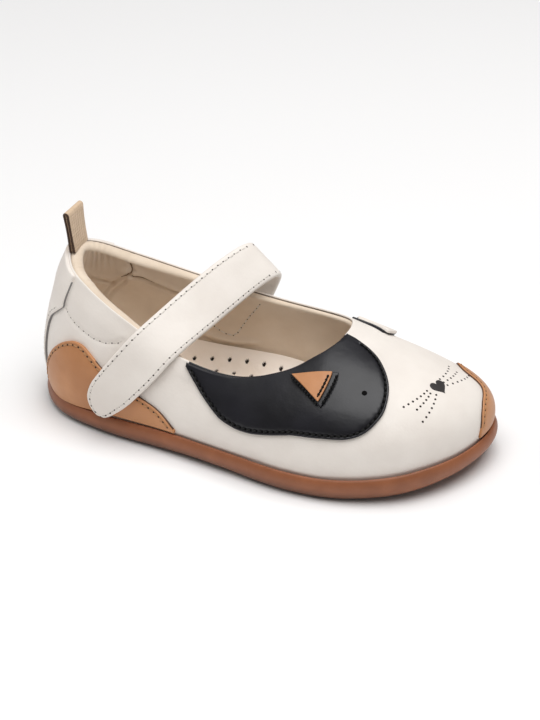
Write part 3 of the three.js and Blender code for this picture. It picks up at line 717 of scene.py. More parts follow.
def make_stitches(name, runs, pitch, threads_in, hole_shade_in, thread=0.26, hole=0.3, sink=0.06):
    """Runs are pairs of points and normals, already one pitch apart."""
    threads, holes = [], []
    for points, normals in runs:
        a, b = stitch_run(points, normals, thread, hole, sink)
        threads += a
        holes += b
    form = ellipsoid()
    verts, faces = copies(form, threads)
    # The hole discs carry painted shade for the needle holes.
    hole_verts, hole_faces = copies(form, holes)
    slots = np.concatenate([np.zeros(len(faces), int), np.ones(len(hole_faces), int)])
    both = np.vstack([verts, hole_verts])
    all_faces = np.vstack([faces, hole_faces + len(verts)])
    return mesh_object(name, both, all_faces, [threads_in, hole_shade_in], slots)


def wall_run(path, off, pitch, closed=False):
    """A run of stitches along a path on the wall, off millimetres out."""
    even = spread(path, pitch, on_wall, closed)
    if closed:
        even = np.vstack([even, even[:1]])
    s, t = even.T
    return skin(s, t, off), wall_normal(s, t)


COUNTER = [
    (1.1, 0.045, 0.07), (1.2, 0.045, 0.2), (1.34, 0.045, 0.346), (1.58, 0.045, 0.475), (1.83, 0.045, 0.557),
    (2.11, 0.05, 0.612), (2.36, 0.05, 0.62), (2.6, 0.06, 0.57), (2.85, 0.07, 0.5), (3.2, 0.08, 0.44),
    (3.53, 0.08, 0.39), (3.78, 0.08, 0.335), (3.98, 0.08, 0.235), (4.13, 0.08, 0.11),
]
BACKSTAY = [
    (-1.46, 0.765, 1.0), (-1.24, 0.705, 1.0), (-0.95, 0.63, 1.0), (-0.85, 0.55, 1.0), (-0.79, 0.41, 1.0),
    (-0.75, 0.24, 1.0), (-0.72, 0.045, 1.0), (0.72, 0.045, 1.0), (0.75, 0.24, 1.0), (0.79, 0.41, 1.0),
    (0.85, 0.55, 1.0), (0.95, 0.63, 1.0), (1.24, 0.705, 1.0), (1.46, 0.765, 1.0),
]
TOE_TIP = [
    (9.69, 0.045, 0.07), (9.71, 0.045, 0.117), (9.79, 0.045, 0.207), (10.01, 0.045, 0.281), (10.3, 0.045, 0.315),
    (10.52, 0.045, 0.34), (10.62, 0.045, 0.38), (10.68, 0.045, 0.43), (10.76, 0.045, 0.475), (11.0, 0.045, 0.495),
    (11.3, 0.045, 0.485), (11.6, 0.045, 0.44), (12.0, 0.05, 0.36), (12.4, 0.06, 0.22), (12.65, 0.06, 0.09),
]
EYE_PATCH = [
    (4.18, 0.95, 1.0), (4.55, 0.68, 1.0), (4.91, 0.45, 1.0), (5.2, 0.375, 1.0), (5.44, 0.36, 1.0),
    (5.8, 0.375, 1.0), (6.12, 0.39, 1.0), (6.6, 0.353, 1.0), (7.02, 0.321, 1.0), (7.25, 0.325, 1.0),
    (7.45, 0.349, 1.0), (7.81, 0.44, 1.0), (8.13, 0.576, 1.0), (8.46, 0.733, 1.0), (8.81, 0.865, 1.0),
    (9.0, 0.96, 1.0),
]
EAR_OUTER_BACKING = [(6.16, 0.927), (6.72, 0.563), (7.29, 0.778)]
EAR_OUTER = [(6.22, 0.895), (6.7, 0.603), (7.15, 0.787)]
EAR_INNER_BACKING = [(11.5, 0.868), (12.95, 0.61), (13.2, 0.9)]
EAR_INNER = [(11.36, 0.855), (12.8, 0.65), (13.0, 0.89)]
# Stitch lines of the ears, with how far they lie below the ear's face
EAR_OUTER_SEAMS = [
    ([(6.22, 0.86), (6.67, 0.59)], 0.6),
    ([(6.72, 0.64), (7.04, 0.77)], 0.0),
    ([(6.78, 0.59), (7.22, 0.76)], 0.75),
]
EAR_INNER_SEAMS = [([(12.95, 0.66), (13.12, 0.87)], 0.7)]
TIP_LEATHER = 0.7
SEAM_IN = 1.0  # from the edge of a patch to its stitches
EDGE_STITCH = 1.3  # the same on the strap


def inner_line(table, distance, first, last, soft=4, low=True):
    """The stitch line along the low or high edge of a table of rows, inside it."""
    rows = np.array(table, float)
    edge = rows[:, [0, 1]] if low else rows[::-1][:, [0, 2]]
    path = soften(spread(edge, 0.5, on_wall), soft)
    path = inset(path, distance, closed=False)
    count = len(path)
    return path[int(first * count):int(last * count)]


def make_counter():
    path = inner_line(COUNTER, SEAM_IN, 0.03, 0.97, low=False)
    overlay("heel_counter_leather", edges_to_loop(COUNTER), -0.05, LEATHER, [TAN, TAN_EDGE],
            seam=path, groove=0.15, raw=lambda s, t: s > 2.7 and t > 0.12)
    run = wall_run(path, LEATHER - 0.05, 2.0)
    make_stitches("counter_stitches", [run], 2.0, TAN_THREAD, PUNCHED_HOLE_SHADE, 0.26, 0.3, 0.0)


def make_backstay():
    # Painted shade: the backstay's cut edge below the rim is grey, for the shadow of its step.
    overlay("backstay_leather", edges_to_loop(BACKSTAY, 3), -0.05, LEATHER, [WHITE, BACKSTAY_EDGE_SHADE])
    path = inner_line(BACKSTAY, SEAM_IN, 0.0, 1.0, soft=3)
    middle = len(path) // 2
    runs = [wall_run(path[4:int(middle * 0.72)], LEATHER, 2.1), wall_run(path[int(middle * 1.28):-4], LEATHER, 2.1)]
    make_stitches("backstay_stitches", runs, 2.1, WHITE_THREAD, NEEDLE_HOLE_SHADE, 0.2, 0.22)


def make_toe_tip():
    path = inner_line(TOE_TIP, SEAM_IN, 0.03, 0.97, soft=3, low=False)
    overlay("toe_tip_leather", edges_to_loop(TOE_TIP, 3), -0.05, TIP_LEATHER, [TAN, TAN_EDGE],
            seam=path, groove=0.1, raw=lambda s, t: t > 0.12)
    run = wall_run(path, TIP_LEATHER - 0.04, 1.8)
    make_stitches("toe_stitches", [run], 1.8, TAN_THREAD, PUNCHED_HOLE_SHADE, 0.24, 0.26, 0.0)


def make_eye_patch():
    path = inner_line(EYE_PATCH, SEAM_IN, 0.02, 0.98)
    # Painted highlight: the patch's cut edge below the rim takes the lighter edge grey.
    overlay("eye_patch_leather", edges_to_loop(EYE_PATCH), -0.05, LEATHER, [BLACK, PATCH_EDGE_SHEEN], 0.4,
            seam=path, groove=0.3)
    run = wall_run(path, LEATHER - 0.08, 1.8)
    make_stitches("patch_stitches", [run], 1.8, BLACK_THREAD, BLACK_HOLE_SHADE, 0.4, 0.36, -0.1)


def ear(name, backing, face, base, faces, seams):
    """An ear of two layers: black backing, smaller face, coarse black stitches along its seams."""
    def corner_loop(corners):
        return soften(spread(corners, 0.35, on_wall, closed=True), 1, closed=True)
    back_top = base + FLAP
    face_top = back_top + FLAP
    overlay(name + "_backing_leather", corner_loop(backing), base - 0.05, back_top, [BLACK], 0.3, 0.8)
    overlay(name + "_leather", corner_loop(face), back_top - 0.05, face_top, faces, 0.2, 0.8)
    runs = [wall_run(seam, face_top - drop, 1.15) for seam, drop in seams]
    make_stitches(name + "_stitches", runs, 1.15, BLACK_THREAD, BLACK_HOLE_SHADE, 0.42, 0.3, -0.1)


# Nose, eye and whiskers

def disc(point, normal, radius, high=0.08):
    x = np.cross(normal, [0.0, 0.0, 1.0])
    x /= np.linalg.norm(x)
    return (x * radius, np.cross(normal, x) * radius, normal * high), point


WHISKERS = [
    ((9.0, 0.531), (8.26, 0.463), 7),
    ((9.02, 0.508), (8.49, 0.427), 6),
    ((9.12, 0.486), (8.49, 0.339), 7),
    ((9.63, 0.563), (10.58, 0.572), 6),
    ((9.61, 0.535), (10.44, 0.524), 6),
    ((9.61, 0.509), (10.67, 0.446), 7),
]
WHISKER_RADIUS = 0.36
EYE_PLACE = (7.62, 0.6)
EYE_RADIUS = 0.8
HEART_PLACE = (9.37, 0.526)
HEART_SIZE = 4.4


def heart_loop():
    """A small heart, its point to the toe, laid on the wall at HEART_PLACE."""
    a = np.arange(60) / 60 * 2 * math.pi
    across = 16 * np.sin(a) ** 3 / 16
    up = (13 * np.cos(a) - 5 * np.cos(2 * a) - 2 * np.cos(3 * a) - np.cos(4 * a)) / 16
    s0, t0 = HEART_PLACE
    ds, dt = slopes(np.array([s0]), np.array([t0]))
    lateral = ds[0] / np.linalg.norm(ds[0])
    along = dt[0] - lateral * (dt[0] @ lateral)
    along /= np.linalg.norm(along)
    place = across[:, None] * lateral * HEART_SIZE * 0.62 + up[:, None] * along * HEART_SIZE * 0.62
    frame_2d = np.stack([ds[0], dt[0]], -1)
    moved = place @ np.linalg.pinv(frame_2d).T
    loop = moved + [s0, t0]
    return loop[::-1] if signed_area(loop) < 0 else loop


def signed_area(loop):
    x, y = loop.T
    return (x * np.roll(y, -1) - y * np.roll(x, -1)).sum() / 2


def make_face():
    overlay("nose_print", heart_loop(), -0.05, 0.12, [PRINT], 0.1, 0.5)
    # Painted shade: the whiskers are rows of dark discs standing in for the shade in punched holes.
    dots = []
    for a, b, count in WHISKERS:
        for f in np.linspace(0, 1, count):
            s, t = (np.array([v]) for v in np.array(a) * (1 - f) + np.array(b) * f)
            dots.append(disc(skin(s, t, 0.01)[0], wall_normal(s, t)[0], WHISKER_RADIUS, 0.06))
    verts, faces = copies(ellipsoid(), dots)
    mesh_object("whisker_hole_shades", verts, faces, [PUNCHED_HOLE_SHADE])
    s, t = (np.array([v]) for v in EYE_PLACE)
    # Painted shade: the eye is a dark, barely glossy disc standing in for the shade in a punched hole.
    verts, faces = copies(ellipsoid(7, 20), [disc(skin(s, t, LEATHER)[0], wall_normal(s, t)[0], EYE_RADIUS, 0.12)])
    mesh_object("eye_hole_shade", verts, faces, [BLACK_HOLE_SHADE])


# Strap: rows from its round end on the outer side to its root on the inner side

STRAP_ON_WALL = [
    ((2.96, 0.09), (2.98, 0.09)),
    ((2.87, 0.108), (3.07, 0.1)),
    ((2.78, 0.155), (3.15, 0.125)),
    ((2.71, 0.23), (3.25, 0.175)),
    ((2.71, 0.31), (3.36, 0.24)),
    ((2.77, 0.41), (3.49, 0.34)),
    ((2.9, 0.54), (3.62, 0.47)),
    ((3.05, 0.68), (3.75, 0.62)),
    ((3.19, 0.85), (3.88, 0.8)),
]
STRAP_SPAN = [
    ((37.6, -19.6, 35.2), (50.2, -20.4, 29.3)),
    ((41.9, -12.0, 38.5), (53.6, -12.0, 31.3)),
    ((45.3, -4.4, 42.1), (57.1, -4.5, 34.1)),
    ((49.1, 3.1, 45.3), (60.6, 3.0, 36.9)),
    ((53.2, 10.6, 47.9), (64.1, 10.5, 39.5)),
    ((56.3, 15.8, 49.5), (66.8, 15.8, 40.8)),
    ((57.6, 18.7, 48.4), (67.4, 18.8, 39.3)),
    ((57.0, 20.4, 43.8), (66.2, 20.5, 35.6)),
    ((54.6, 21.0, 38.6), (64.6, 21.0, 31.6)),
]
STRAP_ROOT = [
    ((15.7, 0.78), (15.22, 0.66)),
    ((15.84, 0.58), (15.33, 0.47)),
    ((15.93, 0.36), (15.42, 0.27)),
]
ACROSS = 9
STRAP_FINE = 10  # steps between two rows
STRAP_SOFT = 25  # rounds of smoothing along it
STRAP_TAUT = (5.0, 12.5, 130)  # rows between which it is pulled straighter, and rounds


def catmull(rows, u):
    """Smooth open interpolation of rows of points at u."""
    rows = np.concatenate([2 * rows[:1] - rows[1:2], rows, 2 * rows[-1:] - rows[-2:-1]])
    whole = np.clip(np.floor(u).astype(int), 0, len(rows) - 4)
    f = (u - whole).reshape(-1, *[1] * (rows.ndim - 1))
    a, b, c, d = (rows[whole + k] for k in range(4))
    return 0.5 * (2 * b + (c - a) * f + (2 * a - 5 * b + 4 * c - d) * f**2 + (-a + 3 * b - 3 * c + d) * f**3)


class Strap:
    """The middle surface of the strap, over u along it and k from rear to front edge."""

    def __init__(self):
        share = np.linspace(0, 1, ACROSS)
        rows = []
        for block, clear in ((STRAP_ON_WALL, STRAP_CLEAR), (STRAP_ROOT, GAP)):
            placed = []
            for rear, front in block:
                s = rear[0] + (front[0] - rear[0]) * share
                t = rear[1] + (front[1] - rear[1]) * share
                placed.append(wall(s, t) + wall_normal(s, t) * clear)
            rows.append(placed)
        span = [np.array(rear) + (np.array(front) - rear) * share[:, None] for rear, front in STRAP_SPAN]
        rows = np.array(rows[0] + span + rows[1])
        self.last = len(rows) - 1
        self.dense = catmull(rows, np.linspace(0, self.last, self.last * STRAP_FINE + 1))
        self.pull(1, len(self.dense) - 1, STRAP_SOFT)
        self.pull(int(STRAP_TAUT[0] * STRAP_FINE), int(STRAP_TAUT[1] * STRAP_FINE), STRAP_TAUT[2])

    def pull(self, first, last, rounds):
        for _ in range(rounds):
            part = self.dense[first - 1:last + 1]
            self.dense[first:last] = (part[:-2] + 2 * part[1:-1] + part[2:]) / 4

    def low(self, u, k):
        place = np.clip(np.asarray(u, float), 0, self.last) * STRAP_FINE
        row = np.minimum(np.floor(place).astype(int), len(self.dense) - 2)
        part = (place - row)[:, None, None]
        grid = self.dense[row] * (1 - part) + self.dense[row + 1] * part
        x = np.asarray(k, float) * (ACROSS - 1)
        i = np.clip(np.floor(x).astype(int), 0, ACROSS - 2)
        f = (x - i)[:, None]
        pick = np.arange(len(i))
        return grid[pick, i] * (1 - f) + grid[pick, i + 1] * f

    def normal(self, u, k):
        h = 0.02
        along = self.low(np.clip(u + h, 0, self.last), k) - self.low(np.clip(u - h, 0, self.last), k)
        across = self.low(u, np.clip(k + 0.1, 0, 1)) - self.low(u, np.clip(k - 0.1, 0, 1))
        n = np.cross(across, along)
        return n / np.maximum(np.linalg.norm(n, axis=-1, keepdims=True), 1e-9)

    def width(self, u):
        ends = self.low(np.array([u, u]), np.array([0.0, 1.0]))
        return np.linalg.norm(ends[1] - ends[0])

    def point(self, u, k, side, edge=0.0):
        """side 1 is the outer face, -1 the inner; edge says how far it is rounded off."""
        centre = self.low(u, k) + self.normal(u, k) * STRAP / 2
        return centre + self.normal(u, k) * (side * (STRAP / 2 - 0.1) * (1 - edge))[:, None]


STRAP_SHAPE = Strap()


def make_strap():
    shape = STRAP_SHAPE
    along = np.concatenate([np.linspace(0, 1, 16)[:-1], np.arange(STRAP_FINE, shape.last * STRAP_FINE + 1) / STRAP_FINE])
    turn = np.linspace(0, 1, 21)
    share = 0.5 - 0.5 * np.cos(np.pi * turn) * (0.75 + 0.25 * np.cos(np.pi * turn) ** 2)
    share[0], share[-1] = 0.0, 1.0
    rows = []
    for u in along:
        width = max(shape.width(u), 0.4)
        tip = min(np.linalg.norm(shape.low(np.array([u]), np.array([0.5])) - shape.low(np.array([0.0]), np.array([0.5]))),
                  np.linalg.norm(shape.low(np.array([u]), np.array([0.5])) - shape.low(np.array([float(shape.last)]), np.array([0.5]))))
        row = []
        for side, order in ((1, share), (-1, share[::-1][1:-1])):
            gap = np.minimum(np.minimum(order, 1 - order) * width, tip)
            edge = 1 - np.sqrt(np.clip(1 - (1 - np.clip(gap / 0.9, 0, 1)) ** 2, 0, 1))
            groove = 0.12 * np.exp(-(((gap - EDGE_STITCH) / 0.45) ** 2)) - 0.03
            row.append(shape.point(np.full(len(order), u), order, np.full(len(order), side), edge + groove))
        rows.append(np.vstack(row))
    columns = len(rows[0])
    faces = grid_faces(len(rows), columns)
    return mesh_object("strap_leather", np.vstack(rows), faces, [WHITE])


def make_strap_stitches():
    shape = STRAP_SHAPE
    last = shape.last - 0.35
    rear = [(u, EDGE_STITCH / shape.width(u)) for u in np.arange(last, 2.0, -0.1)]
    k0 = EDGE_STITCH / shape.width(2.0)
    turn = np.linspace(0, 1, 14)[1:-1]
    end = [(2.0 - 1.15 * math.sin(math.pi * f) ** 0.6, k0 + (1 - 2 * k0) * f) for f in turn]
    front = [(u, 1 - EDGE_STITCH / shape.width(u)) for u in np.arange(2.1, last, 0.1)]
    path = np.array(rear + end + front)

    def place(p):
        return shape.low(p[:, 0], p[:, 1])

    path = soften(spread(path, 0.4, place), 2)
    even = spread(path, 2.1, place)
    u, k = even.T
    top = shape.point(u, k, np.ones(len(u)), np.full(len(u), 0.09))
    make_stitches("strap_stitches", [(top, shape.normal(u, k))], 2.1, WHITE_THREAD, NEEDLE_HOLE_SHADE, 0.24, 0.42, 0.04)


# Other stitch lines

ROOT_LINE = [(15.22, 0.93), (15.4, 0.68), (15.6, 0.36), (15.74, 0.36), (15.89, 0.41), (15.86, 0.68), (15.78, 0.9)]


def make_seams():
    collar = [wall_run(COLLAR_STITCH, 0.0, 2.0), wall_run(COLLAR_STITCH_INNER, 0.0, 2.0)]
    make_stitches("collar_stitches", collar, 2.0, WHITE_THREAD, NEEDLE_HOLE_SHADE, 0.2, 0.27, 0.04)
    even = spread(ROOT_LINE, 2.4, on_wall)
    s, t = even.T
    make_stitches("root_stitches", [(lining(s, t), -wall_normal(s, t))], 2.4, WHITE_THREAD, NEEDLE_HOLE_SHADE, 0.2, 0.24, 0.05)


# Pull tab: a folded loop of woven tape

TAB_WIDTH = 9.4
TAB_HEIGHT = 11.7
TAB_DEPTH = 2.0
TAB_TAPE = 0.8
TAB_LEAN = 0.12
TAB_SAG = 0.2
TAB_SUNK = 1.2  # how deep its legs go into the collar


def make_pull_tab():
    half = TAB_DEPTH / 2
    mid = half - TAB_TAPE / 2
    height = TAB_HEIGHT - half
    legs = np.linspace(-TAB_SUNK / height, 1, 18)
    arc = np.linspace(0, math.pi, 17)[1:-1]
    pinch = TAB_SAG * np.sin(np.pi * np.clip(legs, 0, 1)) * mid
    up = np.stack([-mid + pinch, legs * height], -1)
    bow = np.stack([-mid * np.cos(arc), height + mid * np.sin(arc)], -1)
    down = np.stack([mid - pinch[::-1], legs[::-1] * height], -1)
    path = np.vstack([up, bow, down])
    along = np.gradient(path, axis=0)
    out = np.stack([-along[:, 1], along[:, 0]], -1)
    out /= np.linalg.norm(out, axis=-1, keepdims=True)
    across = np.linspace(-1, 1, 25)
    rows = []
    for side, order in ((1, across), (-1, across[::-1])):
        for y in order:
            edge = math.sqrt(max(0.0, 1 - max(0, (abs(y) - 0.93) / 0.07) ** 2))
            flat = path + out * side * TAB_TAPE / 2 * max(edge, 0.12)
            bend = 0.35 * (flat[:, 1] / TAB_HEIGHT) ** 2 * y
            rows.append(np.stack([flat[:, 0] + bend, np.full(len(flat), y * TAB_WIDTH / 2), flat[:, 1]], -1))
    grid = np.array(rows)
    cos, sin = math.cos(TAB_LEAN), math.sin(TAB_LEAN)
    x, z = grid[..., 0] * cos - grid[..., 2] * sin, grid[..., 0] * sin + grid[..., 2] * cos
    top = wall(np.zeros(1), np.ones(1))[0]
    normal = wall_normal(np.zeros(1), np.ones(1))[0]
    width = float(thickness(np.zeros(1), np.ones(1))[0])
    foot = top - normal * width / 2 + np.array([0, 0, 0.3 * width + 2 * GAP])
    grid = np.stack([x, grid[..., 1], z], -1) + foot
    columns = grid.shape[1]
    faces = grid_faces(len(grid), columns, closed=False)
    wrap = grid_faces(2, columns, closed=False)
    wrap = np.where(wrap >= columns, wrap - columns, wrap + (len(grid) - 1) * columns)
    faces = np.vstack([faces, wrap])
    side = faces[:, 0] // columns
    n = len(across)
    dark = (side % n <= 0) | (side % n >= n - 2)
    return mesh_object("pull_tab_tape", grid.reshape(-1, 3), faces, [TAPE, TAPE_EDGE], dark.astype(int))


# Sole

def underside(x):
    share = x / LENGTH
    bevel = HEEL_BEVEL * np.maximum(0, 1 - share / 0.06) ** 2
    arch = ARCH * smooth(0.33, 0.43, share) * (1 - smooth(0.48, 0.58, share))
    return bevel + arch + spring(x)


# Side of the sole, from the tread over the lip to the ledge: inset from the widest
# line, height, and how much of the underside's shape the row takes
SIDE = [
    (3.4, 0.0, 1.0), (2.7, 0.12, 0.95), (2.0, 0.5, 0.9), (1.4, 1.0, 0.8), (0.9, 1.6, 0.7), (0.5, 2.3, 0.55),
    (0.2, 3.1, 0.4), (0.05, 3.9, 0.25), (0.0, 4.6, 0.15), (0.08, 5.4, 0.05), (0.3, 6.1, 0.0), (0.55, 6.65, 0.0),
    (0.8, 7.0, 0.0), (1.1, LIP - 0.05, 0.0), (1.4, LIP - 0.15, 0.0), (1.65, LIP - 0.45, 0.0),
    (1.8, LIP - 0.9, 0.0), (1.85, LEDGE, 0.0), (5.0, LEDGE, 0.0),
]
HEEL_PANEL = [
    (5.4, -10, 6), (7.6, -21, 15), (12.0, -28, 20), (20.0, -31, 21), (30.0, -33, 19), (36.0, -30, 14),
    (39.4, -22, 6), (40.8, -11, -5),
]
FORE_PANEL = [
    (46.5, -36, -33), (48.5, -42, -22), (50.4, -44, 10), (54.0, -46, 22), (62.0, -48, 25), (70.0, -49, 27),
    (78.0, -46, 29), (85.0, -38, 29), (90.0, -26, 26), (93.6, -10, 18),
]
# Round bumps of the tread: x, y, radius in millimetres
BUMPS = [
    (112.7, -2.8, 11.5), (85, 3, 1.4), (90, 2, 1.6), (81, -2, 2.8), (79, -9, 1.1), (87, -11, 4.4), (79, -16, 1.8),
    (86, -19, 1.3), (94, -20, 2.8), (99, -23, 1.1), (105, -22, 1.7), (72, -19, 1.4), (95, 5, 1.1), (99, 9, 1.6),
    (107, 12, 2.3), (115, 12, 1.6), (119, 10.5, 1.1), (125, -8, 1.3), (93, -6, 1.2), (94, 10, 2.6), (74, -10, 2.2),
    (88, 9, 1.8), (76, 5, 1.2), (81, 9, 2.0), (118, -17, 1.7), (100, -17, 1.3), (112, -18, 1.0),
    (47, 3.4, 4.0), (42.7, -10.6, 4.0), (28, -2.8, 4.4), (19, 5, 3.4), (36, 5, 1.6), (35, -5, 1.8), (34, -14, 1.3),
    (20, -6, 2.0), (24, -13, 1.5), (13, -2, 1.6), (51, -6, 1.5), (49, -12, 1.2), (28, 7, 1.4), (15, -10, 1.2),
]
DIMPLE = 0.5
DIMPLE_PITCH = 2.4


def panel_loop(rows):
    rows = np.array(rows) * [LENGTH / 100, BALL / 100, BALL / 100]
    loop = np.vstack([rows[:, [0, 1]], rows[::-1][:, [0, 2]]])
    return soften(spread(loop, 0.8, on_flat, closed=True), 3, closed=True)


def offset_flat(loop, distance):
    along = np.roll(loop, -1, 0) - np.roll(loop, 1, 0)
    out = np.stack([along[:, 1], -along[:, 0]], -1)
    out /= np.linalg.norm(out, axis=-1, keepdims=True)
    return loop + out * distance


def ring_points(centre, radius, step):
    count = max(7, int(2 * math.pi * radius / step))
    a = np.arange(count) / count * 2 * math.pi
    return np.array(centre) + radius * np.stack([np.cos(a), np.sin(a)], -1)


def thin_out(points, kept, gap):
    return points[nearest(points, kept) > gap]


def make_outsole():
    s = np.arange(AROUND) / 24.0
    rows = []
    for side_inset, height, follow in SIDE:
        xy, _ = sole_edge(s, side_inset)
        low = lift(sole_edge(s)[0][:, 0]) * (1 - follow) + underside(xy[:, 0]) * follow
        rows.append(np.concatenate([xy, (height + low)[:, None]], -1))
    side_verts = np.vstack(rows)
    side_faces = grid_faces(len(rows), AROUND)

    rim = sole_edge(s, SIDE[0][0])[0]
    margin = sole_edge(s, 4.1)[0]
    panels = [panel_loop(HEEL_PANEL), panel_loop(FORE_PANEL)]
    dimples = []
    for loop in panels:
        for k, distance in enumerate((1.1, 2.7)):
            ring = spread(offset_flat(loop, distance), DIMPLE_PITCH, on_flat, closed=True)
            shifted = (ring + np.roll(ring, -1, 0)) / 2 if k else ring
            dimples.append(shifted)
    dimples = np.vstack(dimples)
    dimples = dimples[inside(dimples, margin)]
    free = ~(inside(dimples, panels[0]) | inside(dimples, panels[1]))
    dimples = dimples[free]
    marks = [p for c in dimples for p in (np.array([c]), ring_points(c, DIMPLE, 0.45), ring_points(c, DIMPLE * 0.55, 0.4))]
    for x, y, r in BUMPS:
        marks += [ring_points((x, y), r + 0.15, 0.7), ring_points((x, y), r - 0.15, 0.7), ring_points((x, y), r - 0.5, 0.7)]
    features = np.vstack(marks)
    borders = np.vstack([offset_flat(loop, d) for loop in panels for d in (0.3, 0.0, -0.35, -0.7, -1.0)])
    borders = thin_out(borders, features, 0.3)
    features = np.vstack([features, borders])
    gx, gy = np.meshgrid(np.arange(0, LENGTH, 1.3), np.arange(-0.6 * BALL, 0.45 * BALL, 1.3))
    lattice = np.stack([gx.ravel(), gy.ravel()], -1)
    lattice = thin_out(lattice[inside(lattice, rim)], np.vstack([features, rim]), 0.7)
    extra = np.vstack([features, lattice])
    extra = extra[inside(extra, sole_edge(s, SIDE[0][0] + 0.15)[0])]
    flat, faces = fill(rim, extra)
    z = underside(flat[:, 0])
    for loop in panels:
        within = np.where(inside(flat, loop), nearest(flat, loop), 0)
        z = z + TREAD_DEPTH * smooth(0, 1.0, within)
    for x, y, r in BUMPS:
        z = z - BUMP_HEIGHT * smooth(-r - 0.15, -r + 0.5, -np.hypot(flat[:, 0] - x, flat[:, 1] - y))
    z = z + 0.55 * smooth(-DIMPLE, -DIMPLE * 0.4, -nearest(flat, dimples))
    verts = np.vstack([side_verts, np.concatenate([flat, z[:, None]], -1)])
    all_faces = [*side_faces, *(faces[:, ::-1] + len(side_verts))]
    return mesh_object("outsole_rubber", verts, all_faces, [RUBBER])


# Footbed: dished leather over foam, with punched holes

BED = 9.3
CUP = [11.5, 11.5, 11.5, 11, 10.5, 10.2, 10, 10, 10, 10, 10, 10, 10, 10.5, 12.5, 14.8, 14, 12, 11.5]
BED_HOLE = 0.62
HOLE_PITCH = 5.5
HOLE_ROW = 3.4  # from one row of holes to the next
HOLE_DEPTH = 0.6


def cup_height(s):
    whole = np.floor(s).astype(int)
    f = s - whole
    f = f * f * (3 - 2 * f)
    cup = np.array(CUP)
    return cup[whole % LAPS] * (1 - f) + cup[(whole + 1) % LAPS] * f + spring(sole_edge(s)[0][..., 0])


def bed_edge(s, z):
    """Edge of the footbed at height z, just inside the wall."""
    lo, hi = np.zeros(len(s)), np.full(len(s), 0.6)
    for _ in range(24):
        mid = (lo + hi) / 2
        below = wall(s, mid)[:, 2] < z
        lo, hi = np.where(below, mid, lo), np.where(below, hi, mid)
    p = wall(s, lo) - wall_normal(s, lo) * (WALL + GAP * 0.6)
    return p[:, :2]


def punched():
    """Rows of holes along the foot, the inner one bowed with the edge of the footbed."""
    spots = []
    for row in range(10):
        for step in range(12):
            x = 37.7 + HOLE_PITCH * (step + 0.5 * (row % 2))
            y = 12.8 - HOLE_ROW * row - 0.9 * ((x - 66) / 16) ** 2
            spots.append((x, y))
    return np.array(spots)


def make_insole():
    s = np.arange(AROUND) / 24.0
    _, out = sole_edge(s)
    foot_z = LEDGE + GAP + lift(sole_edge(s)[0][:, 0])
    top_z = cup_height(s)
    rows = [(bed_edge(s, foot_z), foot_z), (bed_edge(s, top_z - 1), top_z - 1)]
    top_xy = bed_edge(s, top_z)
    for step, drop in ((0.25, 0.45), (0.8, 0.08)):
        rows.append((top_xy - out * step, top_z - drop))
    side = np.vstack([np.concatenate([xy, z[:, None]], -1) for xy, z in rows])
    side_faces = grid_faces(len(rows), AROUND)
    rim = rows[-1][0]
    spots = punched()
    spots = spots[inside(spots, top_xy - out * 3.0)]
    marks = [p for c in spots for p in (np.array([c]), ring_points(c, BED_HOLE + 0.25, 0.5), ring_points(c, BED_HOLE, 0.4),
                                        ring_points(c, BED_HOLE * 0.8, 0.4))]
    features = np.vstack(marks)
    bands = np.vstack([top_xy - out * d for d in (1.8, 3.0, 4.5, 6.0, 8.0)])
    bands = bands[::3]
    gx, gy = np.meshgrid(np.arange(0, LENGTH, 1.6), np.arange(-0.6 * BALL, 0.45 * BALL, 1.6))
    lattice = np.stack([gx.ravel(), gy.ravel()], -1)
    lattice = lattice[inside(lattice, rim)]
    bands = thin_out(bands, features, 0.4)
    features = np.vstack([features, bands])
    lattice = thin_out(lattice, np.vstack([features, rim]), 0.9)
    extra = np.vstack([features, lattice])
    extra = extra[inside(extra, top_xy - out * 1.1)]
    flat, faces = fill(rim, extra)
    tree = KDTree(len(top_xy))
    for i, p in enumerate(top_xy):
        tree.insert((*p, 0.0), i)
    tree.balance()
    found = [tree.find((*p, 0.0)) for p in flat]
    near = np.array([f[1] for f in found])
    gap = np.array([f[2] for f in found])
    bed = BED + spring(flat[:, 0])
    rise = top_z[near] - bed
    z = bed + rise * (1 - smooth(0.5, 8.5, gap))
    z = z - HOLE_DEPTH * smooth(-BED_HOLE, -BED_HOLE * 0.8, -nearest(flat, spots))
    verts = np.vstack([side, np.concatenate([flat, z[:, None]], -1)])
    all_faces = [*side_faces, *(faces + len(side))]
    # Painted shade: the faces inside each punched hole take the dark hole colour.
    deep = nearest(flat[faces].mean(1), spots) < BED_HOLE
    slots = np.concatenate([np.zeros(len(side_faces), int), deep.astype(int)])
    return mesh_object("footbed", verts, all_faces, [FOOTBED, PUNCHED_HOLE_SHADE], slots)


# Assembly

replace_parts(make_upper(), "upper")
make_lining_seam_shade()
make_counter()
make_backstay()
make_toe_tip()
make_eye_patch()
ear("ear_outer", EAR_OUTER_BACKING, EAR_OUTER, LEATHER, [TAN, TAN_EDGE], EAR_OUTER_SEAMS)
ear("ear_inner", EAR_INNER_BACKING, EAR_INNER, 0.0, [WHITE], EAR_INNER_SEAMS)
make_face()
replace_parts(make_strap(), "strap")
make_strap_stitches()
make_seams()
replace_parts(make_pull_tab(), "pull_tab")
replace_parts(make_outsole(), "outsole")
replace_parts(make_insole(), "insole")
for piece, node in (
    ("heel_counter_leather", "heel_counter"), ("backstay_leather", "backstay"), ("toe_tip_leather", "toe_tip"),
    ("eye_patch_leather", "eye_patch"), ("ear_outer_backing_leather", "ear_outer_backing"),
    ("ear_outer_leather", "ear_outer"), ("ear_inner_backing_leather", "ear_inner_backing"),
    ("ear_inner_leather", "ear_inner"),
):
    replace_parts(bpy.data.objects[piece], node)


# Floor, light and camera

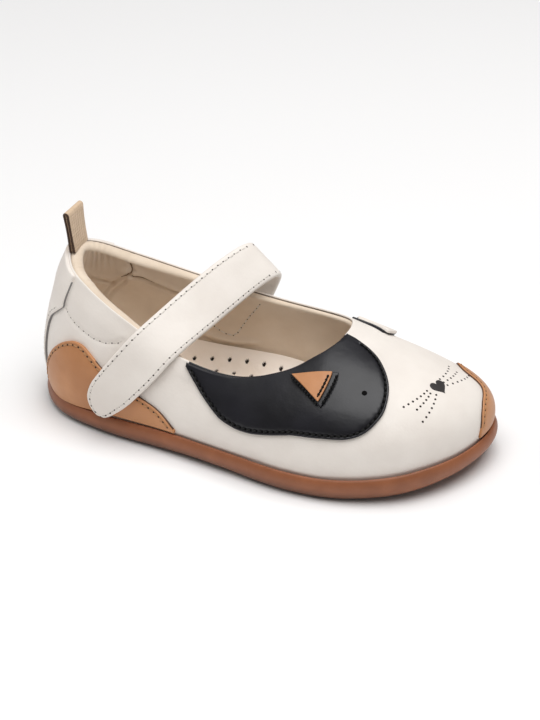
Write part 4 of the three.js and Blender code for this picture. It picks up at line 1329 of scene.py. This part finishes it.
def make_floor():
    mesh = bpy.data.meshes.new("floor")
    reach = 6.0
    corners = [(-reach, -reach, 0), (reach, -reach, 0), (reach, reach, 0), (-reach, reach, 0)]
    mesh.from_pydata(corners, [], [(0, 1, 2, 3)])
    material, tree, shader = shader_of("floor_paper", 0.7)
    tint = ramp(tree, noise(tree, 300, 2), [(0.0, (0.92, 0.92, 0.92)), (1.0, (0.95, 0.95, 0.95))])
    tree.links.new(tint, shader.inputs["Base Color"])
    mesh.materials.append(material)
    floor = bpy.data.objects.new("floor", mesh)
    bpy.context.scene.collection.objects.link(floor)


def area_light(name, place, aim, size, power, colour=(1, 1, 1)):
    data = bpy.data.lights.new(name, "AREA")
    data.shape = "RECTANGLE"
    data.size, data.size_y = size
    data.energy = power
    data.color = colour
    light = bpy.data.objects.new(name, data)
    light.location = place
    light.rotation_euler = (Vector(aim) - Vector(place)).to_track_quat("-Z", "Y").to_euler()
    bpy.context.scene.collection.objects.link(light)


def make_lights():
    area_light("overhead", (0.15, -0.06, 0.8), (0.15, -0.06, 0), (0.8, 0.95), 8.2)
    area_light("left", (-0.9, -0.1, 0.5), (0, 0, 0.02), (0.5, 0.5), 1.6)
    world = bpy.data.worlds.new("studio")
    world.use_nodes = True
    background = world.node_tree.nodes["Background"]
    background.inputs["Color"].default_value = (1, 0.96, 0.94, 1)
    background.inputs["Strength"].default_value = 0.2
    bpy.context.scene.world = world


# The camera stands where the photo was taken from: 21 degrees towards the toe from
# square on, 31 degrees up, and it looks at the middle of the shoe.
CAMERA_PLACE = np.array([362.7, -703.3, 491.3])
CAMERA_AIM = np.array([74.0, -4.0, 25.5])
CAMERA_LENS = 152.0


def make_camera():
    data = bpy.data.cameras.new("camera")
    data.sensor_width = 36
    data.lens = CAMERA_LENS
    data.clip_start = 0.05
    camera = bpy.data.objects.new("camera", data)
    place, aim = (Vector((p + SHIFT) * MM) for p in (CAMERA_PLACE, CAMERA_AIM))
    camera.matrix_world = Matrix.Translation(place) @ (aim - place).to_track_quat("-Z", "Y").to_matrix().to_4x4()
    bpy.context.scene.collection.objects.link(camera)
    bpy.context.scene.camera = camera


make_floor()
make_lights()
make_camera()
bpy.context.scene.view_settings.view_transform = "Standard"
